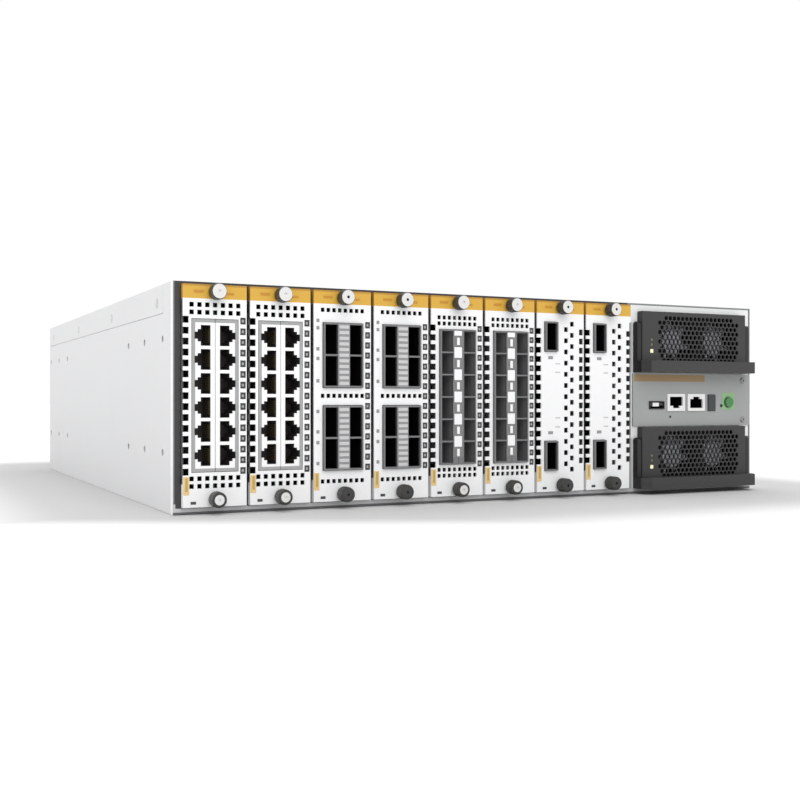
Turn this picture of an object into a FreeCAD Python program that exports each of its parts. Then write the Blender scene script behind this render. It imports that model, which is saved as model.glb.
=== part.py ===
import FreeCAD
import Part
import os
import re
import Sketcher
from FreeCAD import Placement, Rotation, Vector

# Rack-height modular switch: a folded chassis with eight line-card bays on the left of its
# front, and two power supplies with the management panel between them on the right.
# +X is to the right seen from the front, +Y runs from front to back, +Z is up.
# The origin is the centre of the underside.

doc = FreeCAD.newDocument("ModularChassisSwitch")
sheet = doc.addObject("Spreadsheet::Sheet", "Sizes")

SIZES = [
    # chassis sheet metal
    ("chassisWidth", 440, "outside width of the chassis body"),
    ("chassisDepth", 410, "depth from the front edge to the rear edge"),
    ("chassisHeight", 132, "three rack units, less the stacking clearance"),
    ("wallSheet", 1.5, "sheet of the base pan and rear panel"),
    ("coverSheet", 1.2, "sheet of the top cover"),
    ("fitGap", 0.3, "clearance between pieces that slide or seat"),
    ("lipHeight", 3.5, "front lip of the base pan"),
    ("seamHeight", 115, "top of the side wall, where the cover flange begins"),
    ("flangeStart", 20, "where the cover flange begins behind the front edge"),
    ("ledgeOverlap", 5, "length of the cover ledge below the seam"),
    ("bracketHoleRadius", 2.1, "rack bracket hole"),
    ("bracketPitch", 41, "spacing of the bracket holes along the side"),
    ("bracketFront", 21, "first bracket hole behind the front edge"),
    ("bracketRear", 7.5, "last bracket hole ahead of the rear edge"),
    ("bracketLow", 34.3, "height of the lower row of bracket holes"),
    ("bracketRise", 66, "rise from the lower row to the upper row"),
    ("coverScrewFirst", 33.5, "first cover screw behind the front edge"),
    ("coverScrewPitch", 119, "spacing of the cover screws"),
    ("coverScrewCount", 4, "cover screws on each side"),
    ("coverScrewDrop", 10, "cover screws below the top"),
    ("coverScrewRadius", 1.5, "shank of a cover screw"),
    ("coverHeadRadius", 2.6, "countersunk head of a cover screw"),
    ("coverScrewLength", 4.5, "length of a cover screw"),
    ("threadPlay", 0.1, "play of a screw in its thread"),
    # card cage
    ("cageSheet", 1.5, "sheet of the card cage"),
    ("windowLow", 14, "lower edge of the bay window"),
    ("windowHigh", 120.6, "upper edge of the bay window"),
    ("guideHeight", 4, "height of a card guide rib"),
    ("guideRib", 1.5, "thickness of a card guide rib"),
    ("guideStart", 12, "card guides begin behind the front edge"),
    ("midplaneAt", 262, "front face of the midplane behind the front edge"),
    ("midplaneSheet", 2.4, "thickness of the midplane board"),
    ("midplaneInset", 4.5, "midplane edge inside the chassis outline"),
    ("airSlotWidth", 9, "air slot of the midplane beside each connector"),
    ("supplyPlugInset", 20, "power supply connector inside the case outline"),
    ("supplyPlugHeight", 14, "height of a power supply connector"),
    # line-card modules
    ("firstBay", 4.8, "left edge of the first module from the left side"),
    ("bayPitch", 40.25, "spacing of the modules"),
    ("bayGap", 2.2, "gap between two module faceplates"),
    ("faceLow", 4.2, "bottom of the module faceplates"),
    ("faceDrop", 1.7, "top of the faceplates below the chassis top"),
    ("faceProud", 4, "how far a faceplate stands ahead of the front edge"),
    ("faceSheet", 1.2, "sheet of a faceplate"),
    ("tabDepth", 8, "side tabs of a faceplate inside the bay window"),
    ("tabInset", 6, "side tabs shorter than the window at each end"),
    ("ventSize", 2.7, "side of a square vent above and below the jacks"),
    ("ventPitch", 4.65, "spacing of those vents in a row"),
    ("ventRise", 4.3, "spacing of those rows"),
    ("ventCount", 7, "vents in such a row"),
    ("fineVentSize", 2.5, "side of a square vent above and below the cages"),
    ("fineVentPitch", 3.77, "spacing of those vents, along and across the rows"),
    ("fineVentCount", 8, "vents in such a row"),
    ("edgeVentSize", 3.4, "width of the larger vents down both edges"),
    ("edgeVentHeight", 3.9, "height of those vents"),
    ("edgeVentReach", 3.9, "inner end of an edge vent from the fold"),
    ("edgeVentLow", 18.15, "lowest edge vent above the faceplate bottom"),
    ("edgeVentPitch", 6.13, "spacing of the edge vents"),
    ("edgeVentCount", 15, "edge vents in a column"),
    ("fieldVentSize", 3.2, "side of the vents on a single-cage faceplate"),
    ("fieldVentPitch", 7.45, "spacing of those vents"),
    ("cardThickness", 1.6, "thickness of a module circuit board"),
    ("cardDepth", 250, "rear edge of a module board behind the front edge"),
    ("lipDepth", 3, "front lip of the port blocks ahead of the board"),
    ("boardPlugWidth", 8, "width of the rear connector of a board"),
    ("boardPlugHeight", 76, "height of the rear connector of a board"),
    ("boardPlugDepth", 12, "depth of the rear connector of a board"),
    ("heatSinkWidth", 11, "heat sink height above the board"),
    ("heatSinkFin", 2, "thickness of a heat sink fin"),
    ("heatSinkPitch", 12, "spacing of the heat sink fins"),
    ("heatSinkCount", 5, "fins of a heat sink"),
    ("heatSinkStart", 110, "heat sink behind the faceplate front"),
    ("heatSinkLow", 22, "heat sink above the lower board edge"),
    ("heatSinkHeight", 60, "height of the heat sink along the board"),
    ("copperVentLow", 10.55, "lower vents below the jacks, above the faceplate bottom"),
    ("copperVentHigh", 17.25, "lower vents above the jacks, below the faceplate top"),
    ("largeVentLow", 10.85, "vents below the large cages, above the faceplate bottom"),
    ("largeVentHigh", 13.05, "vents above the large cages, below the faceplate top"),
    ("largeVentMiddle", 6.15, "vents between the large blocks, below the upper block"),
    ("smallVentLow", 11.75, "lower vents below the small cages, above the faceplate bottom"),
    ("smallVentHigh", 18.65, "lower vents above the small cages, below the faceplate top"),
    ("fieldVentLeft", 21.9, "first column of vents of a single-cage faceplate"),
    ("fieldVentStep", 4.9, "second column beside the first"),
    ("fieldVentLow", 16.5, "lowest vent of that column"),
    ("fieldVentCount", 13, "vents in that column; the second has one more"),
    # captive thumbscrews
    ("thumbInset", 4.4, "thumbscrew axis from the faceplate end"),
    ("thumbRadius", 4.6, "knurled head of a thumbscrew"),
    ("thumbLength", 7.8, "length of the knurled head"),
    ("thumbShankRadius", 1.5, "threaded shank of a thumbscrew"),
    ("thumbReach", 3, "shank behind the front edge"),
    # copper jacks
    ("jackBlockHalf", 13.8, "width of a ganged jack from the board centre"),
    ("jackBlockHeight", 86.5, "height of a ganged jack of six"),
    ("jackBlockLow", 19.9, "ganged jack above the faceplate bottom"),
    ("jackDepth", 20, "depth of a ganged jack"),
    ("jackPitch", 13.6, "spacing of the jack openings"),
    ("jackHeight", 11.7, "opening of a jack along the board"),
    ("jackBar", 2.8, "half of the bar between the two jack columns"),
    ("portCount", 6, "ports in a column of jacks or small cages"),
    ("jackMouth", 5.8, "opening of a jack across the board"),
    ("jackStep", 1.85, "each latch step of a jack"),
    ("jackStepHeight", 7, "height of the first latch step"),
    ("jackLatchHeight", 4, "height of the second latch step"),
    ("socketDepth", 14, "depth of the port openings"),
    # optical cages
    ("cageProud", 1.8, "cages stand ahead of the faceplate"),
    ("cageBar", 4, "half of the strip between the two cage columns"),
    ("cageMouth", 8.2, "opening of a cage across the board"),
    ("cageBlockHalf", 13.1, "width of a cage block from the board centre"),
    ("cageDepth", 26, "depth of a cage block"),
    ("cageBack", 2, "back wall of a cage"),
    ("smallPitch", 14.0, "spacing of the small cages"),
    ("smallWeb", 0.95, "web between two small cages"),
    ("smallLow", 20.1, "small cage block above the faceplate bottom"),
    ("smallEnd", 0.9, "end wall of a small cage block"),
    ("largeMouthHeight", 17.7, "opening of a large cage along the board"),
    ("largeWeb", 1.1, "web between two large cages"),
    ("largeEnd", 1.1, "end wall of a large cage block"),
    ("largeLow", 18.6, "lower large block above the faceplate bottom"),
    ("largeRise", 49.4, "rise from the lower large block to the upper"),
    ("singleLow", 14.0, "lower single cage above the faceplate bottom"),
    ("singleRise", 78.7, "rise from the lower single cage to the upper"),
    ("singleRim", 0.9, "wall of a single cage"),
    # power supplies
    ("supplyLeft", 334, "left side of the power supplies"),
    ("supplyWidth", 96, "width of a power supply front"),
    ("supplyHeight", 42.4, "height of a power supply front"),
    ("lowerSupply", 3.6, "bottom of the lower power supply"),
    ("upperSupply", 84, "bottom of the upper power supply"),
    ("supplyProud", 5, "power supply front ahead of the front edge"),
    ("supplyDepth", 250, "depth of a power supply case"),
    ("supplyInset", 0.5, "case inside the outline of its front"),
    ("bezelSheet", 1.4, "front wall of the power supply bezel"),
    ("bezelWall", 2.2, "side walls of the bezel"),
    ("grilleLeft", 13.4, "grille from the left side of the bezel"),
    ("grilleLow", 6.4, "grille above the bottom of the bezel"),
    ("grilleHole", 4.6, "diamond hole of the grille, corner to corner"),
    ("grillePitch", 6.5, "spacing of the grille holes in a row"),
    ("grilleRow", 3.4, "spacing of the grille rows"),
    ("grilleCount", 12, "holes in the longer grille rows"),
    ("grilleRows", 5, "longer rows, with one row fewer of the shorter ones"),
    ("fanLeft", 37.5, "left fan axis from the side of the power supply"),
    ("fanPitch", 39, "spacing of the two small fans"),
    ("fanHeight", 21.6, "small fan axis above the bottom"),
    ("fanBore", 17.4, "radius of a small fan duct"),
    ("fanDepth", 28, "depth of a small fan duct"),
    ("fanHub", 8.6, "radius of a small fan hub"),
    ("fanTip", 16.6, "radius of the small fan blades"),
    ("fanBlades", 7, "blades of every fan"),
    ("fanRotorDepth", 14, "depth of a small fan rotor"),
    ("fanSpindle", 1.5, "radius of a fan spindle"),
    ("fanMount", 7, "motor mount at the back of a fan duct"),
    ("spindleLength", 4, "spindle inside its motor mount"),
    ("bladeSheet", 1.1, "thickness of a fan blade"),
    ("armWidth", 3.6, "handle arm beside the power supply front"),
    ("armDepth", 4.2, "handle arm from front to back"),
    ("barDepth", 9, "handle bar ahead of the power supply front"),
    ("barHeight", 8, "height of the handle bar"),
    ("barChamfer", 4.5, "corner taken off each end of the bar"),
    ("barRoot", 3, "full-width back edge of the bar"),
    ("hingeHeight", 33, "handle hinge above the bottom of the power supply"),
    ("hingePinRadius", 1.2, "handle hinge pin"),
    ("hingePinLength", 2, "hinge pin inside the bezel wall"),
    # management section
    ("panelLeft", 329.2, "left side of the management panel"),
    ("panelWidth", 109.2, "width of the management panel"),
    ("panelLow", 46.6, "bottom of the management panel"),
    ("panelHeight", 36.8, "height of the management panel"),
    ("panelSheet", 1.2, "sheet of the management panel"),
    ("usbLeft", 14.2, "USB socket from the panel side"),
    ("usbLow", 11.9, "USB socket above the panel bottom"),
    ("usbWidth", 13.4, "width of the USB socket"),
    ("usbHeight", 5.4, "height of the USB socket"),
    ("usbTongue", 1.9, "tongue of the USB socket"),
    ("usbRim", 0.5, "shell of the USB socket"),
    ("consoleLeft", 30.5, "console jack from the panel side"),
    ("networkLeft", 49.2, "network jack from the panel side"),
    ("panelJackLow", 10.4, "panel jacks above the panel bottom"),
    ("panelJackWidth", 16, "outline of a panel jack"),
    ("panelJackHeight", 12.2, "height of a panel jack"),
    ("panelJackRim", 2.1, "rim round a panel jack opening"),
    ("panelLatchWidth", 6, "latch notch of a panel jack"),
    ("panelLatchHeight", 1.6, "depth of that notch"),
    ("panelJackProud", 0.8, "sockets stand ahead of the panel"),
    ("panelSocketDepth", 14, "depth of the panel sockets"),
    ("displayLeft", 68.6, "status display from the panel side"),
    ("displayWidth", 6.8, "width of the status display"),
    ("displayHeight", 11.6, "height of the status display"),
    ("boardGap", 18, "management board behind the panel"),
    ("boardInset", 4, "management board inside the panel outline"),
    ("panelRimClear", 3.5, "edge of the panel that lies on the card cage"),
    ("buttonLeft", 88.3, "button axis from the panel side"),
    ("buttonLow", 16.6, "button axis above the panel bottom"),
    ("buttonRadius", 3.6, "round push button"),
    ("buttonProud", 1.6, "button ahead of the panel"),
    ("buttonTravel", 1.2, "travel of the button"),
    ("buttonFlange", 1, "flange that keeps the button behind the panel"),
    # rear side
    ("trayLeft", 14, "fan tray from the left side"),
    ("trayWidth", 300, "width of the fan tray flange"),
    ("trayLow", 7, "fan tray flange above the underside"),
    ("trayHeight", 118, "height of the fan tray flange"),
    ("trayDepth", 64, "depth of the fan tray inside the chassis"),
    ("trayRim", 6, "flange of the fan tray round its body"),
    ("ductRadius", 52, "radius of a large fan duct"),
    ("ductPitch", 132, "spacing of the large fans"),
    ("rotorTip", 49.5, "radius of the large fan blades"),
    ("rotorHub", 20, "radius of a large fan hub"),
    ("rotorDepth", 24, "depth of a large fan rotor"),
    ("guardSheet", 2, "finger guard thickness"),
    ("guardRing", 34, "radius of the guard ring"),
    ("guardArm", 5, "width of a guard arm"),
    ("bailWidth", 60, "fan tray handle"),
    ("bailReach", 18, "fan tray handle behind the flange"),
    ("bailBar", 6, "section of the fan tray handle"),
    ("inletLeft", 366, "power inlets from the left side"),
    ("inletWidth", 32, "outline of a power inlet"),
    ("inletHeight", 25, "height of a power inlet"),
    ("inletCavityWidth", 25, "cavity of a power inlet"),
    ("inletCavityHeight", 17, "height of that cavity"),
    ("inletDepth", 16, "depth of that cavity"),
    ("inletBody", 22, "depth of a power inlet inside the panel"),
    ("inletCorner", 4, "upper corners cut off the cavity"),
    ("inletPinWidth", 2, "width of an inlet pin"),
    ("inletPinHeight", 4, "height of an inlet pin"),
    ("inletPinPitch", 7, "spacing of the inlet pins"),
    ("inletPinInset", 4, "pins inside the mouth of the cavity"),
    ("inletProud", 2, "power inlet behind the rear panel"),
    ("exhaustHeight", 24, "exhaust slots between the power inlets"),
    ("exhaustSlot", 4, "width of an exhaust slot"),
    ("exhaustPitch", 9, "spacing of the exhaust slots"),
    ("exhaustCount", 9, "exhaust slots"),
]
NAMES = {name for name, number, meaning in SIZES}

for row, (name, number, meaning) in enumerate(SIZES, start=1):
    sheet.set(f"A{row}", meaning)
    sheet.set(f"B{row}", str(number))
    sheet.setAlias(f"B{row}", name)
doc.recompute()

BAY_KINDS = ["copper", "copper", "large", "large", "small", "small", "single", "single"]
BAY_COUNT = len(BAY_KINDS)
GRIP_FLATS = 16
PLANES = {"front": "XZ_Plane", "floor": "XY_Plane", "side": "YZ_Plane"}
AXES = {"x": "X_Axis", "y": "Y_Axis", "z": "Z_Axis"}

# Heights and places that several pieces share, as expressions of the sizes.
FACE_WIDTH = "(bayPitch - bayGap)"
FACE_HEIGHT = "(chassisHeight - faceLow - faceDrop)"
FACE_RETURN = "(faceProud - fitGap)"
BOARD_LOW = "(windowLow + fitGap)"
BOARD_HEIGHT = "(windowHigh - windowLow - 2 * fitGap)"
BOARD_FRONT = "(lipDepth + fitGap)"
COVER_UNDERSIDE = "(chassisHeight - coverSheet)"
LEDGE_SIDE = "(coverSheet + fitGap)"
SMALL_HEIGHT = "(portCount * smallPitch - smallWeb + 2 * smallEnd)"
LARGE_HEIGHT = "(2 * largeMouthHeight + largeWeb + 2 * largeEnd)"
SINGLE_HEIGHT = "(largeMouthHeight + 2 * singleRim)"
SINGLE_WIDTH = "(cageMouth + 2 * singleRim)"
PLUG_LOW = "((chassisHeight - boardPlugHeight) / 2)"
SOCKET_DEPTH = "(midplaneAt - cardDepth - fitGap)"

nodes = []
first_made = {}


def expression(text):
    """Point each size name in a text at its cell of the spreadsheet."""
    words = re.split(r"([A-Za-z]+)", str(text))
    return "".join("Sizes." + word if word in NAMES else word for word in words)


def value(text):
    return float(sheet.evalExpression(expression(text)))


def bind(thing, prop, text):
    thing.setExpression(prop, expression(text))


def origin_feature(body, role):
    return next(part for part in body.Origin.OriginFeatures if part.Role == role)


def new_body(label, x, y, z, rotation=None):
    """A body that becomes one node, with its own corner placed at x, y, z."""
    body = doc.addObject("PartDesign::Body", label)
    body.Label = label
    body.AllowCompound = True
    if rotation:
        body.Placement = Placement(Vector(), rotation)
    for axis, text in zip("xyz", (x, y, z)):
        bind(body, f"Placement.Base.{axis}", text)
    nodes.append(body)
    return body


def alike(key, label, x, y, z, build, rotation=None):
    """A piece made by build, or a further copy of the first piece that has the same key."""
    body = new_body(label, x, y, z, rotation)
    if key in first_made:
        body.BaseFeature = first_made[key]
    else:
        first_made[key] = body
        build(body)
    return body


def chassis_body(label):
    """A body measured from the lower left front corner of the chassis."""
    return new_body(label, "-chassisWidth / 2", "-chassisDepth / 2", "0")


def rect(left, low, width, height):
    right = f"({left}) + ({width})"
    top = f"({low}) + ({height})"
    return [(left, low), (right, low), (right, top), (left, top)]


def pin_point(sketch, geometry, position, x, y):
    """Hold a point of the sketch at x, y from the sketch origin."""
    for kind, text in (("DistanceX", x), ("DistanceY", y)):
        index = sketch.addConstraint(
            Sketcher.Constraint(kind, -1, 1, geometry, position, value(text)))
        bind(sketch, f"Constraints[{index}]", text)


def draw(sketch, outline):
    """Draw a closed polygon from its corners, or a circle from (x, y, radius)."""
    first = sketch.GeometryCount
    if isinstance(outline, tuple):
        x, y, radius = outline
        centre = Vector(value(x), value(y), 0)
        sketch.addGeometry(Part.Circle(centre, Vector(0, 0, 1), value(radius)), False)
        pin_point(sketch, first, 3, x, y)
        index = sketch.addConstraint(Sketcher.Constraint("Radius", first, value(radius)))
        bind(sketch, f"Constraints[{index}]", radius)
        return
    points = [Vector(value(x), value(y), 0) for x, y in outline]
    following = points[1:] + points[:1]
    for start, end in zip(points, following):
        sketch.addGeometry(Part.LineSegment(start, end), False)
    count = len(points)
    for side in range(count):
        joint = Sketcher.Constraint("Coincident", first + side, 2, first + (side + 1) % count, 1)
        sketch.addConstraint(joint)
    for side, (x, y) in enumerate(outline):
        pin_point(sketch, first + side, 1, x, y)


def sketch_on(body, plane, at, outlines):
    """Sketch the outlines on a plane of the body, a distance along the positive axis."""
    sketch = body.newObject("Sketcher::SketchObject", "Sketch")
    sketch.AttachmentSupport = [(origin_feature(body, PLANES[plane]), "")]
    sketch.MapMode = "FlatFace"
    bind(sketch, "AttachmentOffset.Base.z", f"-({at})" if plane == "front" else at)
    for outline in outlines:
        draw(sketch, outline)
    return sketch


def pad(body, plane, at, outlines, depth, taper="0"):
    """Add the outlines as material, growing towards the positive axis."""
    feature = body.newObject("PartDesign::Pad", "Pad")
    feature.Profile = sketch_on(body, plane, at, outlines)
    feature.Reversed = plane == "front"
    bind(feature, "Length", depth)
    bind(feature, "TaperAngle", taper)
    body.Tip = feature
    return feature


def cut(body, plane, at, outlines, depth, taper="0"):
    """Take the outlines away, going towards the positive axis."""
    feature = body.newObject("PartDesign::Pocket", "Pocket")
    feature.Profile = sketch_on(body, plane, at, outlines)
    feature.Reversed = plane != "front"
    feature.Refine = False
    bind(feature, "Length", depth)
    bind(feature, "TaperAngle", taper)
    body.Tip = feature
    return feature


def repeat(body, feature, axis, pitch, count, second=None):
    """Copy a feature along an axis, and along a second axis given as (axis, pitch, count)."""
    pattern = body.newObject("PartDesign::LinearPattern", "Row")
    pattern.Originals = [feature]
    pattern.Refine = False
    pattern.Direction = (origin_feature(body, AXES[axis]), [""])
    pattern.Mode = "Spacing"
    bind(pattern, "Offset", pitch)
    bind(pattern, "Occurrences", count)
    if second:
        pattern.Direction2 = (origin_feature(body, AXES[second[0]]), [""])
        pattern.Mode2 = "Extent"
        bind(pattern, "Length2", f"({second[1]}) * ({second[2]} - 1)")
        bind(pattern, "Occurrences2", second[2])
    body.Tip = pattern
    return pattern


def polar(body, feature, axis, count):
    pattern = body.newObject("PartDesign::PolarPattern", "Ring")
    pattern.Originals = [feature]
    pattern.Axis = (origin_feature(body, AXES[axis]), [""])
    pattern.Angle = 360
    bind(pattern, "Occurrences", count)
    body.Tip = pattern
    return pattern


# ---------------------------------------------------------------- chassis

def base_pan():
    """Floor and both side walls folded from one sheet, with an inner ledge for the cover."""
    body = chassis_body("base_pan")
    inner = "chassisWidth - wallSheet"
    profile = [("0", "0"), ("chassisWidth", "0"), ("chassisWidth", "seamHeight"),
               (inner, "seamHeight"), (inner, "wallSheet"), ("wallSheet", "wallSheet"),
               ("wallSheet", "seamHeight"), ("0", "seamHeight")]
    pad(body, "front", "0", [profile], "chassisDepth")
    pad(body, "front", "0", [rect("wallSheet", "0", "chassisWidth - 2 * wallSheet", "lipHeight")],
        "wallSheet")
    tab_height = f"{COVER_UNDERSIDE} - seamHeight"
    pad(body, "front", "0", [rect("0", "seamHeight", "wallSheet", tab_height),
                             rect(inner, "seamHeight", "wallSheet", tab_height)],
        "flangeStart - fitGap")
    ledge_low = "seamHeight - ledgeOverlap"
    ledge_height = f"{COVER_UNDERSIDE} - fitGap - seamHeight + ledgeOverlap"
    ledge_right = f"chassisWidth - {LEDGE_SIDE} - wallSheet"
    pad(body, "front", "flangeStart",
        [rect(LEDGE_SIDE, ledge_low, "wallSheet", ledge_height),
         rect(ledge_right, ledge_low, "wallSheet", ledge_height)],
        "chassisDepth - flangeStart - wallSheet - fitGap")
    for first in ("bracketFront", "chassisDepth - bracketRear - 2 * bracketPitch"):
        hole = cut(body, "side", "0", [(first, "bracketLow", "bracketHoleRadius")], "chassisWidth")
        repeat(body, hole, "y", "bracketPitch", "3", ("z", "bracketRise", "2"))
    tapped = cut(body, "side", "0",
                 [("coverScrewFirst", "chassisHeight - coverScrewDrop", "coverScrewRadius")],
                 "chassisWidth")
    repeat(body, tapped, "y", "coverScrewPitch", "coverScrewCount")


COVER_SCREW_HEIGHT = "chassisHeight - coverScrewDrop"
HEAD_TAPER = "atan((coverHeadRadius - coverScrewRadius) / coverSheet)"
COVER_SCREW_SIDES = [("0", "coverHeadRadius", f"-({HEAD_TAPER})"),
                     ("chassisWidth - coverSheet", "coverScrewRadius", HEAD_TAPER)]


def top_cover():
    """Lid with a side flange down each side, set flush with the walls."""
    body = chassis_body("top_cover")
    pad(body, "floor", COVER_UNDERSIDE, [rect("0", "0", "chassisWidth", "chassisDepth")],
        "coverSheet")
    height = f"{COVER_UNDERSIDE} - seamHeight - fitGap"
    low = "seamHeight + fitGap"
    pad(body, "front", "flangeStart",
        [rect("0", low, "coverSheet", height),
         rect("chassisWidth - coverSheet", low, "coverSheet", height)],
        "chassisDepth - flangeStart")
    for side, head, taper in COVER_SCREW_SIDES:
        place = ("coverScrewFirst", COVER_SCREW_HEIGHT, f"{head} + fitGap")
        countersink = cut(body, "side", side, [place], "coverSheet", taper)
        repeat(body, countersink, "y", "coverScrewPitch", "coverScrewCount")


def cover_screws():
    """Countersunk screws that hold the cover flanges to the ledges, four a side."""
    body = chassis_body("cover_screws")
    for side, head, taper in COVER_SCREW_SIDES:
        countersunk = pad(body, "side", side, [("coverScrewFirst", COVER_SCREW_HEIGHT, head)],
                          "coverSheet", taper)
        start = "coverSheet" if side == "0" else "chassisWidth - coverScrewLength"
        shank = pad(body, "side", start,
                    [("coverScrewFirst", COVER_SCREW_HEIGHT, "coverScrewRadius - threadPlay")],
                    "coverScrewLength - coverSheet")
        pattern = repeat(body, countersunk, "y", "coverScrewPitch", "coverScrewCount")
        pattern.Originals = [countersunk, shank]


# ---------------------------------------------------------------- card cage and midplane

def card_cage():
    """Welded frame behind the front pieces: front plate, guide shelves and power supply bay."""
    body = chassis_body("card_cage")
    low = "(lipHeight + fitGap / 2)"
    pad(body, "front", "0",
        [rect("wallSheet", low, "chassisWidth - 2 * wallSheet", f"{COVER_UNDERSIDE} - {low}")],
        "cageSheet")
    bay_left = "firstBay - fitGap"
    bay_width = f"bayPitch * {BAY_COUNT} - bayGap + 2 * fitGap"
    supply_window = [rect("supplyLeft + supplyInset - fitGap", f"{bottom} + supplyInset - fitGap",
                          "supplyWidth - 2 * supplyInset + 2 * fitGap",
                          "supplyHeight - 2 * supplyInset + 2 * fitGap")
                     for bottom in ("lowerSupply", "upperSupply")]
    panel_window = rect("panelLeft + panelRimClear", "panelLow + panelRimClear",
                        "panelWidth - 2 * panelRimClear", "panelHeight - 2 * panelRimClear")
    cut(body, "front", "0",
        [rect(bay_left, "windowLow", bay_width, "windowHigh - windowLow"), panel_window]
        + supply_window, "cageSheet")
    shelf_depth = "midplaneAt - fitGap - cageSheet"
    wall = f"(firstBay + bayPitch * {BAY_COUNT})"
    shelf_left = "(coverScrewLength + fitGap)"
    pad(body, "front", "cageSheet",
        [rect("wallSheet", "windowLow - cageSheet", f"{wall} - wallSheet", "cageSheet"),
         rect(shelf_left, "windowHigh", f"{wall} - {shelf_left}", "cageSheet")], shelf_depth)
    pad(body, "front", "cageSheet",
        [rect(wall, low, "cageSheet", f"{COVER_UNDERSIDE} - {low}")], shelf_depth)
    shelves = [rect(f"{wall} + cageSheet", f"{bottom} + supplyInset - fitGap - cageSheet",
                    f"chassisWidth - wallSheet - {wall} - cageSheet", "cageSheet")
               for bottom in ("lowerSupply", "upperSupply")]
    pad(body, "front", "cageSheet", shelves, shelf_depth)
    slot = "cardThickness + 2 * fitGap"
    card_middle = f"firstBay + {FACE_WIDTH} / 2"
    rib_left = f"{card_middle} - ({slot}) / 2 - guideRib"
    rib_right = f"{card_middle} + ({slot}) / 2"
    upper = "windowHigh - guideHeight"
    ribs = pad(body, "front", "guideStart",
               [rect(rib_left, "windowLow", "guideRib", "guideHeight"),
                rect(rib_right, "windowLow", "guideRib", "guideHeight"),
                rect(rib_left, upper, "guideRib", "guideHeight"),
                rect(rib_right, upper, "guideRib", "guideHeight")],
               "midplaneAt - fitGap - guideStart")
    repeat(body, ribs, "x", "bayPitch", BAY_COUNT)
    screw_low = "faceLow + thumbInset"
    screw_high = "chassisHeight - faceDrop - thumbInset"
    holes = cut(body, "front", "0",
                [(card_middle, height, "thumbShankRadius + fitGap")
                 for height in (screw_low, screw_high)], "cageSheet")
    repeat(body, holes, "x", "bayPitch", BAY_COUNT)


def midplane():
    """Board across the chassis that every module and power supply plugs into."""
    body = chassis_body("midplane")
    pad(body, "front", "midplaneAt",
        [rect("midplaneInset", "midplaneInset", "chassisWidth - 2 * midplaneInset",
              "chassisHeight - 2 * midplaneInset")], "midplaneSheet")
    air = cut(body, "front", "midplaneAt",
              [rect("firstBay + midplaneInset", f"{PLUG_LOW} + midplaneInset", "airSlotWidth",
                    "boardPlugHeight - 2 * midplaneInset")], "midplaneSheet")
    repeat(body, air, "x", "bayPitch", BAY_COUNT)
    plug_left = f"firstBay + {FACE_WIDTH} / 2 + cardThickness / 2"
    plug = pad(body, "front", f"midplaneAt - ({SOCKET_DEPTH})",
               [rect(plug_left, PLUG_LOW, "boardPlugWidth", "boardPlugHeight")], SOCKET_DEPTH)
    repeat(body, plug, "x", "bayPitch", BAY_COUNT)
    sockets = [rect("supplyLeft + supplyInset + supplyPlugInset",
                    f"{bottom} + supplyInset + supplyPlugInset",
                    "supplyWidth - 2 * supplyInset - 2 * supplyPlugInset", "supplyPlugHeight")
               for bottom in ("lowerSupply", "upperSupply")]
    pad(body, "front", f"midplaneAt - ({SOCKET_DEPTH})", sockets, SOCKET_DEPTH)


# ---------------------------------------------------------------- line-card modules

MODULE_FRONT = "-chassisDepth / 2 - faceProud"


def module_left(bay):
    return f"-chassisWidth / 2 + firstBay + bayPitch * {bay}"


def module_middle(bay):
    return f"{module_left(bay)} + {FACE_WIDTH} / 2"


def port_windows(kind, middle):
    """Cut-outs of a faceplate, a clearance larger than the port blocks they pass."""
    left = f"{middle} - cageBlockHalf - fitGap"
    width = "2 * cageBlockHalf + 2 * fitGap"
    if kind == "copper":
        return [rect(f"{middle} - jackBlockHalf - fitGap", "jackBlockLow - fitGap",
                     "2 * jackBlockHalf + 2 * fitGap", "jackBlockHeight + 2 * fitGap")]
    if kind == "small":
        return [rect(left, "smallLow - fitGap", width, f"{SMALL_HEIGHT} + 2 * fitGap")]
    if kind == "large":
        return [rect(left, f"{low} - fitGap", width, f"{LARGE_HEIGHT} + 2 * fitGap")
                for low in ("largeLow", "largeLow + largeRise")]
    return [rect(left, f"{low} - fitGap", f"{SINGLE_WIDTH} + 2 * fitGap",
                 f"{SINGLE_HEIGHT} + 2 * fitGap")
            for low in ("singleLow", "singleLow + singleRise")]


def edge_vents(body, kind):
    """Columns of larger vents, punched across the fold on the left and beside it on the right."""
    columns = [rect(f"{FACE_WIDTH} - edgeVentReach", "edgeVentLow", "edgeVentSize",
                    "edgeVentHeight")]
    if kind != "large":
        columns.append(rect("0", "edgeVentLow", "edgeVentSize", "edgeVentHeight"))
    vent = cut(body, "front", "0", columns, "edgeVentSize")
    repeat(body, vent, "z", "edgeVentPitch", "edgeVentCount")


def vent_row(body, middle, low, size, pitch, count, rows=None):
    """Square vents along a row, the first placed so that a full row is centred."""
    left = f"{middle} - ({count} - 1) * {pitch} / 2 - {size} / 2"
    vent = cut(body, "front", "0", [rect(left, low, size, size)], "faceSheet")
    return repeat(body, vent, "x", pitch, count, rows)


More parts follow.
